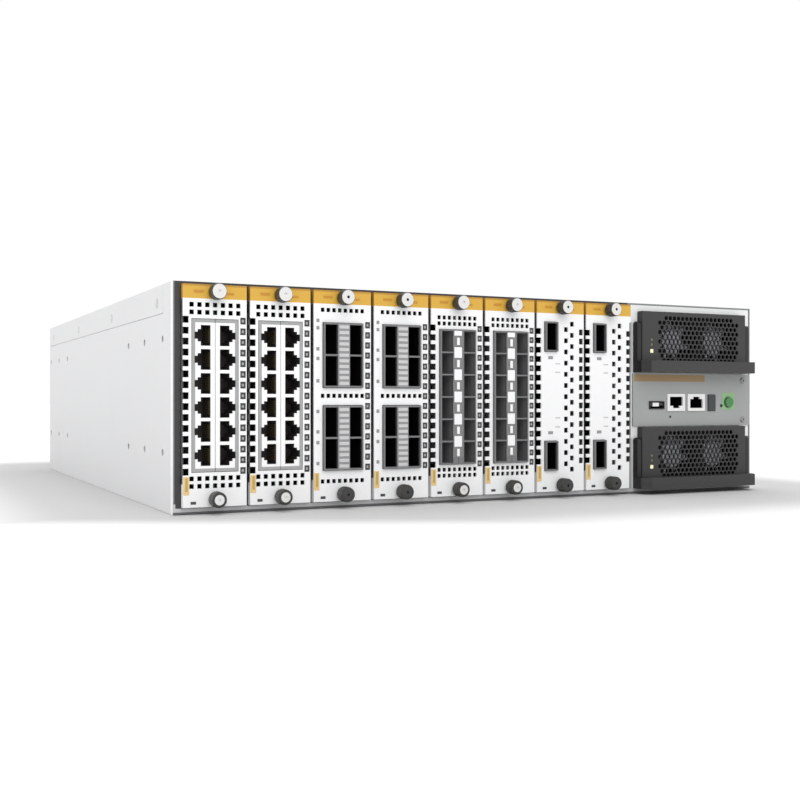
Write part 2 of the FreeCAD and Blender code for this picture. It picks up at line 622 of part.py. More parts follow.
def face_vents(body, kind, middle):
    """Square vents: rows above, between and below the ports, or two staggered columns."""
    if kind == "single":
        lower = "fieldVentLow - fieldVentPitch / 2"
        for left, low, count in (("fieldVentLeft", "fieldVentLow", "fieldVentCount"),
                                 ("fieldVentLeft + fieldVentStep", lower, "fieldVentCount + 1")):
            vent = cut(body, "front", "0", [rect(left, low, "fieldVentSize", "fieldVentSize")],
                       "faceSheet")
            repeat(body, vent, "z", "fieldVentPitch", count)
    elif kind == "copper":
        for low in ("copperVentLow", f"{FACE_HEIGHT} - copperVentHigh"):
            vent_row(body, middle, low, "ventSize", "ventPitch", "ventCount",
                     ("z", "ventRise", "2"))
    else:
        lows = [f"{kind}VentLow", f"{FACE_HEIGHT} - {kind}VentHigh"]
        rows = ("z", "fineVentPitch", "2")
        if kind == "large":
            lows.append("largeLow + largeRise - largeVentMiddle")
            rows = None
        for low in lows:
            vent_row(body, middle, low, "fineVentSize", "fineVentPitch", "fineVentCount", rows)


def faceplate(body, kind):
    """Shallow folded tray with side tabs, cut for its ports, vents and two captive screws."""
    pad(body, "front", "0", [rect("0", "0", FACE_WIDTH, FACE_HEIGHT)], FACE_RETURN)
    cut(body, "front", "faceSheet",
        [rect("faceSheet", "faceSheet", f"{FACE_WIDTH} - 2 * faceSheet",
              f"{FACE_HEIGHT} - 2 * faceSheet")], FACE_RETURN)
    tab_low = "windowLow - faceLow + tabInset"
    tab_height = "windowHigh - windowLow - 2 * tabInset"
    pad(body, "front", FACE_RETURN,
        [rect("0", tab_low, "faceSheet", tab_height),
         rect(f"{FACE_WIDTH} - faceSheet", tab_low, "faceSheet", tab_height)],
        "tabDepth + fitGap")
    middle = f"{FACE_WIDTH} / 2"
    ends = [(middle, height, "thumbShankRadius + fitGap")
            for height in ("thumbInset", f"{FACE_HEIGHT} - thumbInset")]
    cut(body, "front", "0", ends + port_windows(kind, middle), "faceSheet")
    face_vents(body, kind, middle)
    edge_vents(body, kind)


def side_block(body, half, height, depth, proud):
    """Port block on one side of the board, its front lip reaching the board's centre plane."""
    seam = "fitGap / 2"
    pad(body, "front", "0", [rect(seam, "0", f"{half} - {seam}", height)], depth)
    relief = "cardThickness / 2 + fitGap"
    cut(body, "front", f"lipDepth + {proud}",
        [rect(seam, "0", f"{relief} - {seam}", height)], f"{depth} - lipDepth - {proud}")


def copper_block(body):
    """Six ganged jacks, each opening stepping out to its latch."""
    side_block(body, "jackBlockHalf", "jackBlockHeight", "jackDepth", "0")
    margin = "(jackBlockHeight - (portCount - 1) * jackPitch - jackHeight) / 2"
    lower = []
    upper = []
    start = "jackBar"
    for step, height in enumerate(("jackHeight", "jackStepHeight", "jackLatchHeight")):
        base = f"{margin} + (jackHeight - {height}) / 2"
        end = f"jackBar + jackMouth + {step} * jackStep"
        lower += [(start, base), (end, base)]
        upper += [(start, f"{base} + {height}"), (end, f"{base} + {height}")]
        start = end
    opening = cut(body, "front", "0", [lower + upper[::-1]], "socketDepth")
    repeat(body, opening, "z", "jackPitch", "portCount")


def small_block(body):
    """Strip of six small cages."""
    side_block(body, "cageBlockHalf", SMALL_HEIGHT, "cageDepth", "cageProud")
    opening = cut(body, "front", "0",
                  [rect("cageBar", "smallEnd", "cageMouth", "smallPitch - smallWeb")],
                  "cageDepth - cageBack")
    repeat(body, opening, "z", "smallPitch", "portCount")


def large_block(body):
    """Block of four large cages, two on each side of the board."""
    pad(body, "front", "0", [rect("0", "0", "2 * cageBlockHalf", LARGE_HEIGHT)], "cageDepth")
    cut(body, "front", "lipDepth + cageProud",
        [rect("cageBlockHalf - cardThickness / 2 - fitGap", "0",
              "cardThickness + 2 * fitGap", LARGE_HEIGHT)], "cageDepth")
    mouths = [rect(left, "largeEnd", "cageMouth", "largeMouthHeight")
              for left in ("cageBlockHalf - cageBar - cageMouth", "cageBlockHalf + cageBar")]
    opening = cut(body, "front", "0", mouths, "cageDepth - cageBack")
    repeat(body, opening, "z", "largeMouthHeight + largeWeb", "2")


def single_block(body):
    """Two separate single cages, one above the other, left of the board."""
    mouth_left = "cageBlockHalf - cageBar - cageMouth"
    for low in ("0", "singleRise"):
        pad(body, "front", "0", [rect("0", low, SINGLE_WIDTH, SINGLE_HEIGHT)], "cageDepth")
        cut(body, "front", "0",
            [rect(mouth_left, f"{low} + singleRim", "cageMouth", "largeMouthHeight")],
            "cageDepth - cageBack")


def ports(bay, kind):
    """Port blocks of a module, set in its faceplate and against both sides of its board."""
    middle = module_middle(bay)
    proud = f"{MODULE_FRONT} - cageProud"
    if kind in ("copper", "small"):
        name, build, front, low, height = {
            "copper": ("jacks", copper_block, MODULE_FRONT, "jackBlockLow", "jackBlockHeight"),
            "small": ("cages", small_block, proud, "smallLow", SMALL_HEIGHT),
        }[kind]
        alike(kind, f"bay{bay + 1}_{name}_right", middle, front, f"faceLow + {low}", build)
        alike(kind, f"bay{bay + 1}_{name}_left", middle, front,
              f"faceLow + {low} + {height}", build, Rotation(Vector(0, 1, 0), 180))
    elif kind == "large":
        for level, low in (("lower", "largeLow"), ("upper", "largeLow + largeRise")):
            alike(kind, f"bay{bay + 1}_cages_{level}", f"{middle} - cageBlockHalf", proud,
                  f"faceLow + {low}", large_block)
    else:
        alike(kind, f"bay{bay + 1}_cages", f"{middle} - cageBlockHalf", proud,
              "faceLow + singleLow", single_block)


def card(body):
    """Circuit board on edge in its guides, with a finned heat sink and the rear connector."""
    length = f"faceProud + cardDepth - {BOARD_FRONT}"
    pad(body, "side", "0", [rect(BOARD_FRONT, "0", length, BOARD_HEIGHT)], "cardThickness")
    plug_front = "faceProud + cardDepth - boardPlugDepth"
    sink = rect("heatSinkStart", "heatSinkLow", "(heatSinkCount - 1) * heatSinkPitch"
                " + heatSinkFin", "heatSinkHeight")
    pad(body, "side", "cardThickness",
        [rect(plug_front, f"{PLUG_LOW} - {BOARD_LOW}", "boardPlugDepth", "boardPlugHeight")],
        "boardPlugWidth")
    pad(body, "side", "cardThickness", [sink], "heatSinkFin")
    fin = pad(body, "side", "cardThickness + heatSinkFin",
              [rect("heatSinkStart", "heatSinkLow", "heatSinkFin", "heatSinkHeight")],
              "heatSinkWidth - heatSinkFin")
    repeat(body, fin, "y", "heatSinkPitch", "heatSinkCount")


def regular(centre_x, centre_y, radius, sides):
    """Corners of a regular polygon."""
    step = 360 / sides
    return [(f"{centre_x} + {radius} * cos({step * corner})",
             f"{centre_y} + {radius} * sin({step * corner})") for corner in range(sides)]


def thumbscrew_pair(body):
    """Two captive screws, each a grip with flats round it on a threaded shank."""
    outline = regular("thumbRadius", "thumbRadius", "thumbRadius", GRIP_FLATS)
    grip = pad(body, "front", "0", [outline], "thumbLength")
    shank = pad(body, "front", "thumbLength",
                [("thumbRadius", "thumbRadius", "thumbShankRadius")],
                "faceProud + thumbReach")
    pair = repeat(body, grip, "z", f"{FACE_HEIGHT} - 2 * thumbInset", "2")
    pair.Originals = [grip, shank]


# ---------------------------------------------------------------- power supplies

SUPPLY_X = "-chassisWidth / 2 + supplyLeft"
SUPPLY_FRONT = "-chassisDepth / 2 - supplyProud"
HINGE_BACK = "(fitGap + armDepth / 2)"


def bezel(body):
    """Moulded front with a grille of staggered diamonds and a hinge hole in each side."""
    pad(body, "front", "0", [rect("0", "0", "supplyWidth", "supplyHeight")],
        "supplyProud - fitGap")
    cut(body, "front", "bezelSheet",
        [rect("bezelWall", "bezelWall", "supplyWidth - 2 * bezelWall",
              "supplyHeight - 2 * bezelWall")], "supplyProud")
    hinge = (f"supplyProud - {HINGE_BACK}", "hingeHeight", "hingePinRadius + fitGap")
    cut(body, "side", "0", [hinge], "bezelWall")
    cut(body, "side", "supplyWidth - bezelWall", [hinge], "bezelWall")
    half = "grilleHole / 2"
    for shift, row, count, rows in (("0", "0", "grilleCount", "grilleRows"),
                                    ("grillePitch / 2", "grilleRow", "grilleCount - 1",
                                     "grilleRows - 1")):
        x = f"grilleLeft + {half} + {shift}"
        z = f"grilleLow + {half} + {row}"
        diamond = [(f"{x} - {half}", z), (x, f"{z} - {half}"), (f"{x} + {half}", z),
                   (x, f"{z} + {half}")]
        hole = cut(body, "front", "0", [diamond], "bezelSheet")
        repeat(body, hole, "x", "grillePitch", count, ("z", "2 * grilleRow", rows))


def supply_case(body):
    """Closed case with the two fan ducts in its front and a motor mount at each duct's back."""
    start = "supplyProud - fitGap"
    pad(body, "front", start,
        [rect("supplyInset", "supplyInset", "supplyWidth - 2 * supplyInset",
              "supplyHeight - 2 * supplyInset")], "supplyDepth + fitGap")
    axes = ("fanLeft", "fanLeft + fanPitch")
    cut(body, "front", start, [(x, "fanHeight", "fanBore") for x in axes], "fanDepth")
    pad(body, "front", f"{start} + fanDepth - fanMount",
        [(x, "fanHeight", "fanHub") for x in axes], "fanMount")
    cut(body, "front", f"{start} + fanDepth - fanMount",
        [(x, "fanHeight", "fanSpindle + fitGap") for x in axes], "spindleLength + fitGap")


def rotor(body, hub, tip, depth):
    """Fan rotor: hub, pitched blades and the spindle that runs in the motor mount."""
    pad(body, "front", "0", [("0", "0", hub)], depth)
    pad(body, "front", depth, [("0", "0", "fanSpindle")], "spindleLength")
    rise = f"{hub} * sin(180 / fanBlades)"
    lift = "bladeSheet / sin(45)"
    section = [("bladeSheet", f"-({rise})"), (f"{depth} - bladeSheet", f"{rise} - {lift}"),
               (f"{depth} - bladeSheet", rise), ("bladeSheet", f"{lift} - ({rise})")]
    root = f"{hub} * cos(180 / fanBlades) - bladeSheet"
    reach = f"sqrt({tip} * {tip} - ({rise}) * ({rise}))"
    blade = pad(body, "side", root, [section], f"{reach} - ({root})")
    polar(body, blade, "y", "fanBlades")


def handle(body):
    """Locking handle: a bar across the front on two arms that hinge at their upper ends."""
    width = "(supplyWidth + 2 * fitGap + 2 * armWidth)"
    shoulder = "barDepth - barRoot"
    bar = [("0", "barDepth"), ("0", shoulder), ("barChamfer", "0"),
           (f"{width} - barChamfer", "0"), (width, shoulder), (width, "barDepth")]
    pad(body, "floor", "0", [bar], "barHeight")
    back = "barDepth + supplyProud"
    front = f"{back} - armDepth"
    arm = [(shoulder, "0"), (back, "0"), (back, "hingeHeight"), (front, "hingeHeight"),
           (front, "barHeight"), (shoulder, "barHeight")]
    centre = f"{back} - armDepth / 2"
    for side in ("0", f"{width} - armWidth"):
        pad(body, "side", side, [arm], "armWidth")
        pad(body, "side", side, [(centre, "hingeHeight", "armDepth / 2")], "armWidth")
    pin = "fitGap + hingePinLength"
    for side in ("armWidth", f"{width} - armWidth - {pin}"):
        pad(body, "side", side, [(centre, "hingeHeight", "hingePinRadius")], pin)


def power_supply(name, bottom):
    alike("bezel", f"{name}_bezel", SUPPLY_X, SUPPLY_FRONT, bottom, bezel)
    alike("case", f"{name}_case", SUPPLY_X, SUPPLY_FRONT, bottom, supply_case)
    alike("handle", f"{name}_handle", f"{SUPPLY_X} - fitGap - armWidth",
          f"{SUPPLY_FRONT} - fitGap - barDepth", bottom, handle)
    duct_back = "-chassisDepth / 2 - fitGap + fanDepth"
    for side, place in (("left", "0"), ("right", "fanPitch")):
        alike("small rotor", f"{name}_fan_{side}", f"{SUPPLY_X} + fanLeft + {place}",
              f"{duct_back} - fanMount - fitGap - fanRotorDepth", f"{bottom} + fanHeight",
              lambda body: rotor(body, "fanHub", "fanTip", "fanRotorDepth"))


# ---------------------------------------------------------------- management section

def socket_outlines(gap):
    """Outlines of the USB socket, the two jacks and the display, each grown by a gap."""
    def grown(left, low, width, height):
        return rect(f"{left} - {gap}", f"{low} - {gap}", f"{width} + 2 * {gap}",
                    f"{height} + 2 * {gap}")
    return [grown("usbLeft", "usbLow", "usbWidth", "usbHeight"),
            grown("consoleLeft", "panelJackLow", "panelJackWidth", "panelJackHeight"),
            grown("networkLeft", "panelJackLow", "panelJackWidth", "panelJackHeight"),
            grown("displayLeft", "panelJackLow", "displayWidth", "displayHeight")]


def panel_body(label, front):
    """A body measured from the lower left corner of the panel, its front given from the edge."""
    return new_body(label, "-chassisWidth / 2 + panelLeft", f"-chassisDepth / 2 - {front}",
                    "panelLow")


def management_panel():
    """Plate over the front of the management section."""
    body = panel_body("management_panel", "panelSheet")
    pad(body, "front", "0", [rect("0", "0", "panelWidth", "panelHeight")], "panelSheet")
    cut(body, "front", "0", socket_outlines("(fitGap / 2)"), "panelSheet")
    cut(body, "front", "0", [("buttonLeft", "buttonLow", "buttonRadius + fitGap")],
        "panelSheet")


def management_board():
    """Board behind the panel with its sockets and display soldered on."""
    body = panel_body("management_board", "(panelSheet + panelJackProud)")
    depth = "panelJackProud + panelSheet + boardGap"
    pad(body, "front", depth,
        [rect("boardInset", "boardInset", "panelWidth - 2 * boardInset",
              "panelHeight - 2 * boardInset")], "cardThickness")
    pad(body, "front", "0", socket_outlines("0"), depth)
    inner_width = "usbWidth - 2 * usbRim"
    inner_height = "usbHeight - 2 * usbRim"
    cut(body, "front", "0", [rect("usbLeft + usbRim", "usbLow + usbRim", inner_width,
                                  inner_height)], "panelSocketDepth")
    pad(body, "front", "usbRim",
        [rect("usbLeft + 2 * usbRim", f"usbLow + usbRim + {inner_height} - usbTongue - usbRim",
              f"{inner_width} - 2 * usbRim", "usbTongue")], "panelSocketDepth")
    opening_width = "(panelJackWidth - 2 * panelJackRim)"
    opening_height = "(panelJackHeight - 2 * panelJackRim - panelLatchHeight)"
    low = "panelJackLow + panelJackRim"
    for left, latch in (("consoleLeft", "below"), ("networkLeft", "above")):
        x = f"{left} + panelJackRim"
        notch = f"{x} + ({opening_width} - panelLatchWidth) / 2"
        base = f"{low} + panelLatchHeight" if latch == "below" else low
        tooth = low if latch == "below" else f"{base} + {opening_height}"
        shelf = base if latch == "below" else tooth
        far = tooth if latch == "below" else f"{tooth} + panelLatchHeight"
        other = f"{base} + {opening_height}" if latch == "below" else base
        outline = [(x, other), (x, shelf), (notch, shelf), (notch, far),
                   (f"{notch} + panelLatchWidth", far), (f"{notch} + panelLatchWidth", shelf),
                   (f"{x} + {opening_width}", shelf), (f"{x} + {opening_width}", other)]
        cut(body, "front", "0", [outline], "panelSocketDepth")


def push_button():
    """Round button, kept behind the panel by its flange."""
    body = panel_body("eco_button", "(panelSheet + buttonProud)")
    axis = ("buttonLeft", "buttonLow")
    pad(body, "front", "0", [(*axis, "buttonRadius")], "buttonProud + panelSheet + fitGap")
    pad(body, "front", "buttonProud + panelSheet + fitGap",
        [(*axis, "buttonRadius + 2 * fitGap")], "buttonFlange")


# ---------------------------------------------------------------- rear side

TRAY_AXES = [f"trayLeft + trayWidth / 2 {sign} ductPitch / 2" for sign in "-+"]
TRAY_MIDDLE = "trayLow + trayHeight / 2"
TRAY_BACK = "(chassisDepth + fitGap)"


def rear_panel():
    """Rear wall with the fan tray window, the exhaust slots and the two power inlets."""
    body = chassis_body("rear_panel")
    start = "chassisDepth - wallSheet"
    pad(body, "front", start,
        [rect("wallSheet", "wallSheet", "chassisWidth - 2 * wallSheet",
              f"{COVER_UNDERSIDE} - wallSheet")], "wallSheet")
    window = rect("trayLeft + trayRim - fitGap", "trayLow + trayRim - fitGap",
                  "trayWidth - 2 * trayRim + 2 * fitGap",
                  "trayHeight - 2 * trayRim + 2 * fitGap")
    cut(body, "front", start, [window], "wallSheet")
    slot = cut(body, "front", start,
               [rect("supplyLeft + exhaustPitch", "(chassisHeight - exhaustHeight) / 2",
                     "exhaustSlot", "exhaustHeight")], "wallSheet")
    repeat(body, slot, "x", "exhaustPitch", "exhaustCount")
    middles = [f"{bottom} + supplyHeight / 2" for bottom in ("lowerSupply", "upperSupply")]
    pad(body, "front", "chassisDepth - inletBody",
        [rect("inletLeft", f"{middle} - inletHeight / 2", "inletWidth", "inletHeight")
         for middle in middles], "inletBody + inletProud")
    floor = "chassisDepth + inletProud - inletDepth"
    left = "inletLeft + (inletWidth - inletCavityWidth) / 2"
    right = f"{left} + inletCavityWidth"
    centre = "inletLeft + inletWidth / 2"
    for middle in middles:
        low = f"{middle} - inletCavityHeight / 2"
        high = f"{middle} + inletCavityHeight / 2"
        cavity = [(left, low), (right, low), (right, f"{high} - inletCorner"),
                  (f"{right} - inletCorner", high), (f"{left} + inletCorner", high),
                  (left, f"{high} - inletCorner")]
        cut(body, "front", floor, [cavity], "inletDepth")
        pins = [rect(f"{centre} + ({shift}) * inletPinPitch - inletPinWidth / 2",
                     f"{middle} + ({drop}) * inletPinHeight", "inletPinWidth",
                     "inletPinHeight")
                for shift, drop in ((-1, -0.9), (0, -0.1), (1, -0.9))]
        pad(body, "front", floor, pins, "inletDepth - inletPinInset")


def fan_tray():
    """Plug-in tray with two round ducts, their finger guards and a pull handle."""
    body = chassis_body("fan_tray")
    pad(body, "front", f"{TRAY_BACK} - trayDepth",
        [rect("trayLeft + trayRim", "trayLow + trayRim", "trayWidth - 2 * trayRim",
              "trayHeight - 2 * trayRim")], "trayDepth")
    pad(body, "front", TRAY_BACK, [rect("trayLeft", "trayLow", "trayWidth", "trayHeight")],
        "cageSheet")
    cut(body, "front", f"{TRAY_BACK} - trayDepth",
        [(x, TRAY_MIDDLE, "ductRadius") for x in TRAY_AXES], "trayDepth + cageSheet")
    guard = f"{TRAY_BACK} + cageSheet - guardSheet"
    span = "(2 * ductRadius + guardSheet)"
    pad(body, "front", guard,
        [rect(f"{x} - {span} / 2", f"{TRAY_MIDDLE} - guardArm / 2", span, "guardArm")
         for x in TRAY_AXES], "guardSheet")
    pad(body, "front", guard,
        [rect(f"{x} - guardArm / 2", f"{TRAY_MIDDLE} - {span} / 2", "guardArm", span)
         for x in TRAY_AXES], "guardSheet")
    ring = [(x, TRAY_MIDDLE, f"guardRing {change} guardSheet / 2")
            for x in TRAY_AXES for change in "-+"]
    pad(body, "front", guard, ring, "guardSheet")
    mount = f"{TRAY_BACK} + cageSheet - fanMount"
    pad(body, "front", mount, [(x, TRAY_MIDDLE, "rotorHub") for x in TRAY_AXES], "fanMount")
    cut(body, "front", mount, [(x, TRAY_MIDDLE, "fanSpindle + fitGap") for x in TRAY_AXES],
        "spindleLength + fitGap")
    foot = f"{TRAY_BACK} + cageSheet"
    low = f"{TRAY_MIDDLE} - bailWidth / 2"
    high = f"{TRAY_MIDDLE} + bailWidth / 2"
    back = f"{foot} + bailReach"
    bail = [(foot, low), (back, low), (back, high), (foot, high), (foot, f"{high} - bailBar"),
            (f"{back} - bailBar", f"{high} - bailBar"), (f"{back} - bailBar", f"{low} + bailBar"),
            (foot, f"{low} + bailBar")]
    pad(body, "side", "trayLeft + trayWidth / 2 - bailBar / 2", [bail], "bailBar")


def tray_rotors():
    front = f"-chassisDepth / 2 + {TRAY_BACK} + cageSheet - fanMount - fitGap - rotorDepth"
    for side, axis in zip(("left", "right"), TRAY_AXES):
        alike("large rotor", f"tray_fan_{side}", f"-chassisWidth / 2 + {axis}", front,
              TRAY_MIDDLE, lambda body: rotor(body, "rotorHub", "rotorTip", "rotorDepth"))


base_pan()
top_cover()
cover_screws()
card_cage()
midplane()
rear_panel()
management_panel()
management_board()
push_button()
for bay, kind in enumerate(BAY_KINDS):
    alike(f"{kind} faceplate", f"bay{bay + 1}_faceplate", module_left(bay), MODULE_FRONT,
          "faceLow", lambda body: faceplate(body, kind))
    ports(bay, kind)
    alike("card", f"bay{bay + 1}_card", f"{module_middle(bay)} - cardThickness / 2",
          MODULE_FRONT, BOARD_LOW, card)
    alike("thumbscrews", f"bay{bay + 1}_thumbscrews", f"{module_middle(bay)} - thumbRadius",
          f"{MODULE_FRONT} - thumbLength", "faceLow + thumbInset - thumbRadius",
          thumbscrew_pair)
power_supply("lower_supply", "lowerSupply")
power_supply("upper_supply", "upperSupply")
fan_tray()
tray_rotors()

doc.recompute()
failed = [part.Name for part in doc.Objects if {"Invalid", "Error"} & set(part.State)]
if failed:
    raise RuntimeError(f"objects failed: {failed}")
os.makedirs("parts", exist_ok=True)
for node in nodes:
    if node.Shape.isNull() or not node.Shape.isValid():
        raise RuntimeError(f"no valid shape: {node.Label}")
for node in nodes:
    node.Shape.exportStep(f"parts/{node.Label}.step")
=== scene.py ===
"""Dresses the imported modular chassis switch: finishes for its sheet metal, ports and fans, and
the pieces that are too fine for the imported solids, such as knurled grips, contacts and grilles."""

import math

import bmesh
import bpy
from bpy.props import FloatProperty, FloatVectorProperty, IntProperty, PointerProperty
from mathutils import Matrix, Vector


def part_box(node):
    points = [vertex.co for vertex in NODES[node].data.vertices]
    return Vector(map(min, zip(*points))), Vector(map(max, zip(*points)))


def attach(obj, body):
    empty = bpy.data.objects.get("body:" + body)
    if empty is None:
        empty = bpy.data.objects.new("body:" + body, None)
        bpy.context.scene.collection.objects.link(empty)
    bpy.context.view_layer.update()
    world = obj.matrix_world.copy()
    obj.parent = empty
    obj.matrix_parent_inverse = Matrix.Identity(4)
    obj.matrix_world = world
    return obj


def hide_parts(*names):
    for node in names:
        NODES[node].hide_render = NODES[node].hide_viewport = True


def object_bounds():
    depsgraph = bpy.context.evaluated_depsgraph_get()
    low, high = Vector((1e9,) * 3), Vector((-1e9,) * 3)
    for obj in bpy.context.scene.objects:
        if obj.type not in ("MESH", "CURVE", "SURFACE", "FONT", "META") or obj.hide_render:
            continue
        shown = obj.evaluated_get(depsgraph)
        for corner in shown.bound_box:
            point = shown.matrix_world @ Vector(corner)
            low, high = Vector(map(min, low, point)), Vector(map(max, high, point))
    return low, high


bl_info = {
    "name": "Modular chassis switch",
    "version": (1, 0, 0),
    "blender": (4, 5, 0),
    "location": "3D View > Sidebar > Switch",
    "description": "Finishes and small fittings of a rack switch with line-card modules",
    "category": "Object",
}

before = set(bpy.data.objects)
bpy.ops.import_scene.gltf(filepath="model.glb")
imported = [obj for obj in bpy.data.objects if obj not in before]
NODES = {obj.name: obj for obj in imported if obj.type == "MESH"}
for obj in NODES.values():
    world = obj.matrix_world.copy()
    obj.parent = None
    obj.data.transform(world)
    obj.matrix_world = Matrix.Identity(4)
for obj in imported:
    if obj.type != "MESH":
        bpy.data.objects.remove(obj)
CAD_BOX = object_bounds()
MM = 0.001
# How far a colour zone reaches past the surface that it colours.
PAST = 1 * MM

BAYS = range(1, 9)
JACK_BAYS, LARGE_BAYS, SMALL_BAYS, SINGLE_BAYS = (1, 2), (3, 4), (5, 6), (7, 8)
FACE = [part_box(f"bay{bay}_faceplate") for bay in BAYS]
FACE_FRONT = FACE[0][0].y
FACE_FOOT = FACE[0][0].z
FACE_TOP = FACE[0][1].z
MODULES_END = FACE[-1][1].x
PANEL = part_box("management_panel")
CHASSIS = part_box("base_pan")
SUPPLIES = {name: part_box(f"{name}_supply_bezel") for name in ("lower", "upper")}

# ------------------------------------------------ measures, in millimetres unless MM is given

# Prints on a faceplate: left, right, bottom and top from its lower left corner, how far they
# stand proud, and which of its paints they have.
FOOT_PRINTS = ((0.1, 3.6, 7.0, 17.3, 0.12, 0), (1.3, 2.7, 9.0, 16.6, 0.2, 1),
               (4.4, 7.6, 1.7, 3.3, 0.12, 2))
BAND_BARS = ((6.2, 12.2, 121.2, 122.8, 0.12, 3), (25.0, 30.4, 120.4, 121.8, 0.12, 3))
PORT_LINES = tuple((14.6, 18.6, z, z + 0.8, 0.12, 4) for z in (84.2, 78.6, 48.4, 42.4))
PRINT_BEVEL = 0.03 * MM

# Lamps on a faceplate: centre from its lower left corner, and half their width. Half their
# height is the same for all.
LAMP_COLUMN = tuple((2.6, z, 0.95)
                    for z in (107.9, 103.5, 91, 85.3, 72, 53.8, 41.7, 35.3, 22.9))
LAMP_PAIR = tuple((10.8, z, 1.9) for z in (88.6, 39.0))
LAMP_HALF = 1

FINGERS, FINGER_PITCH, FINGER_FOOT, FINGER_INSET = 15, 6.13, 20.1, 2.25
JACKS, JACK_PITCH, CONTACT_PITCH = 6, 13.6, 1.02
RIBS = 11
# Clips between the small cages, and the blocks of one: left, right, bottom and top from its
# middle, back and front before the cages, bevel and finish.
CLIPS, CLIP_PITCH = 6, 14.0
CLIP_BLOCKS = ((-3.7, 3.7, -3.3, 3.3, 0, 0.2, 0.1, 0), (-1.0, 1.0, -2.3, 2.3, 0.2, 0.5, 0.1, 1),
               (-2.4, -1.2, -0.5, 1.6, 0.2, 0.4, 0.1, 0))
# How far the painted shade inside a jack or cage reaches; in a jack it also stands for its dark
# moulding.
DEEP = 100

# Locking handle of a supply: height of its bar, and width of its two arms.
HANDLE_BAR, HANDLE_ARM = 7.5, 4

# Supply front, from its lower left corner: holes of the comb, its left end and its middle, and
# the thickness of the front sheet and of the walls behind it.
COMB_COLUMNS, COMB_ROWS, COMB_LEFT, COMB_MIDDLE = 20, 10, 15.7, 23.2
SHEET, WALL = 1.2, 2.2
# Its lenses: height of the centre, half their width, and 0 for the lit one or 1 for a dim one.
LENS_LEFT = 8.4
LENSES = ((14.8, 1.3, 0), (19.2, 0.8, 1), (22.6, 0.8, 1))

# Power inlets: height of their middles, places of the pins across the chassis, sides of the
# mouth, half its height, and half the width and height of a pin.
INLET_MIDDLES, INLET_PINS = (24.5, 104.9), (155, 162, 169)
INLET_SIDES, INLET_HALF = (149, 175), 9
PIN_HALF = (1.1, 6.6)

# Management panel, from its lower left corner: left, right, bottom and top of the pinhole and
# of the tongue in the bus socket, the small hole beside the button, and the screws.
PINHOLE, TONGUE = (32.7, 34.3, 5.6, 7.2), (17.2, 22.8, 13.7, 16.3)
SIDE_HOLE = (81.6, 14.1)
PANEL_SCREW_X, PANEL_SCREW_TOP, PANEL_SCREW_FOOT = 102.3, 4.5, 4.1
# Its stripe: left and right end, and lower and upper edge below the top of the panel.
STRIPE = (1.0, 65.5, 5.6, 0.9)
# Its square ground round the button: left, bottom, side and radius of the opening.
PATCH = (82.2, 11.2, 12.2, 4.3)
PRINT_PROUD = 0.12 * MM

# ------------------------------------------------------------------ stage, in metres and watts

CAMERA_PLACE = (-0.3769, -0.7426, 0.0648)
CAMERA_TURN = -23.24
CAMERA_LENS, CAMERA_SENSOR, CAMERA_SHIFT = 44.50, 36.0, 0.133
LAMPS = (("Key", (-0.35, -1.5, 1.3), 1.6, 16.8),
         ("Side", (-1.9, 0.1, 0.9), 1.6, 10.6),
         ("Top", (0.7, 0.3, 1.8), 1.8, 13.5))
AIM = Vector((0, 0, 0.05))
# Size of the floor, and its grey near the switch, which is painted shade round the switch.
FLOOR_SIZE, FLOOR_SHADE = 12.0, 0.62
# The floor turns white between these distances from the switch, and between these in front of it
# along a level line.
FADE_AROUND, FADE_IN_FRONT = (0.05, 0.13), (0.285, 0.33)
FRONT_LINE = (-0.3946, -0.9188, 0)
WORLD_LEVEL = 0.55


def colour(name, text, default):
    return FloatVectorProperty(name=name, description=text, subtype="COLOR", size=3,
                               min=0.0, max=1.0, default=default)


def length(name, text, default):
    return FloatProperty(name=name, description=text, subtype="DISTANCE", unit="LENGTH",
                         min=0.0, default=default)


# ------------------------------------------------------------------ what a user would change

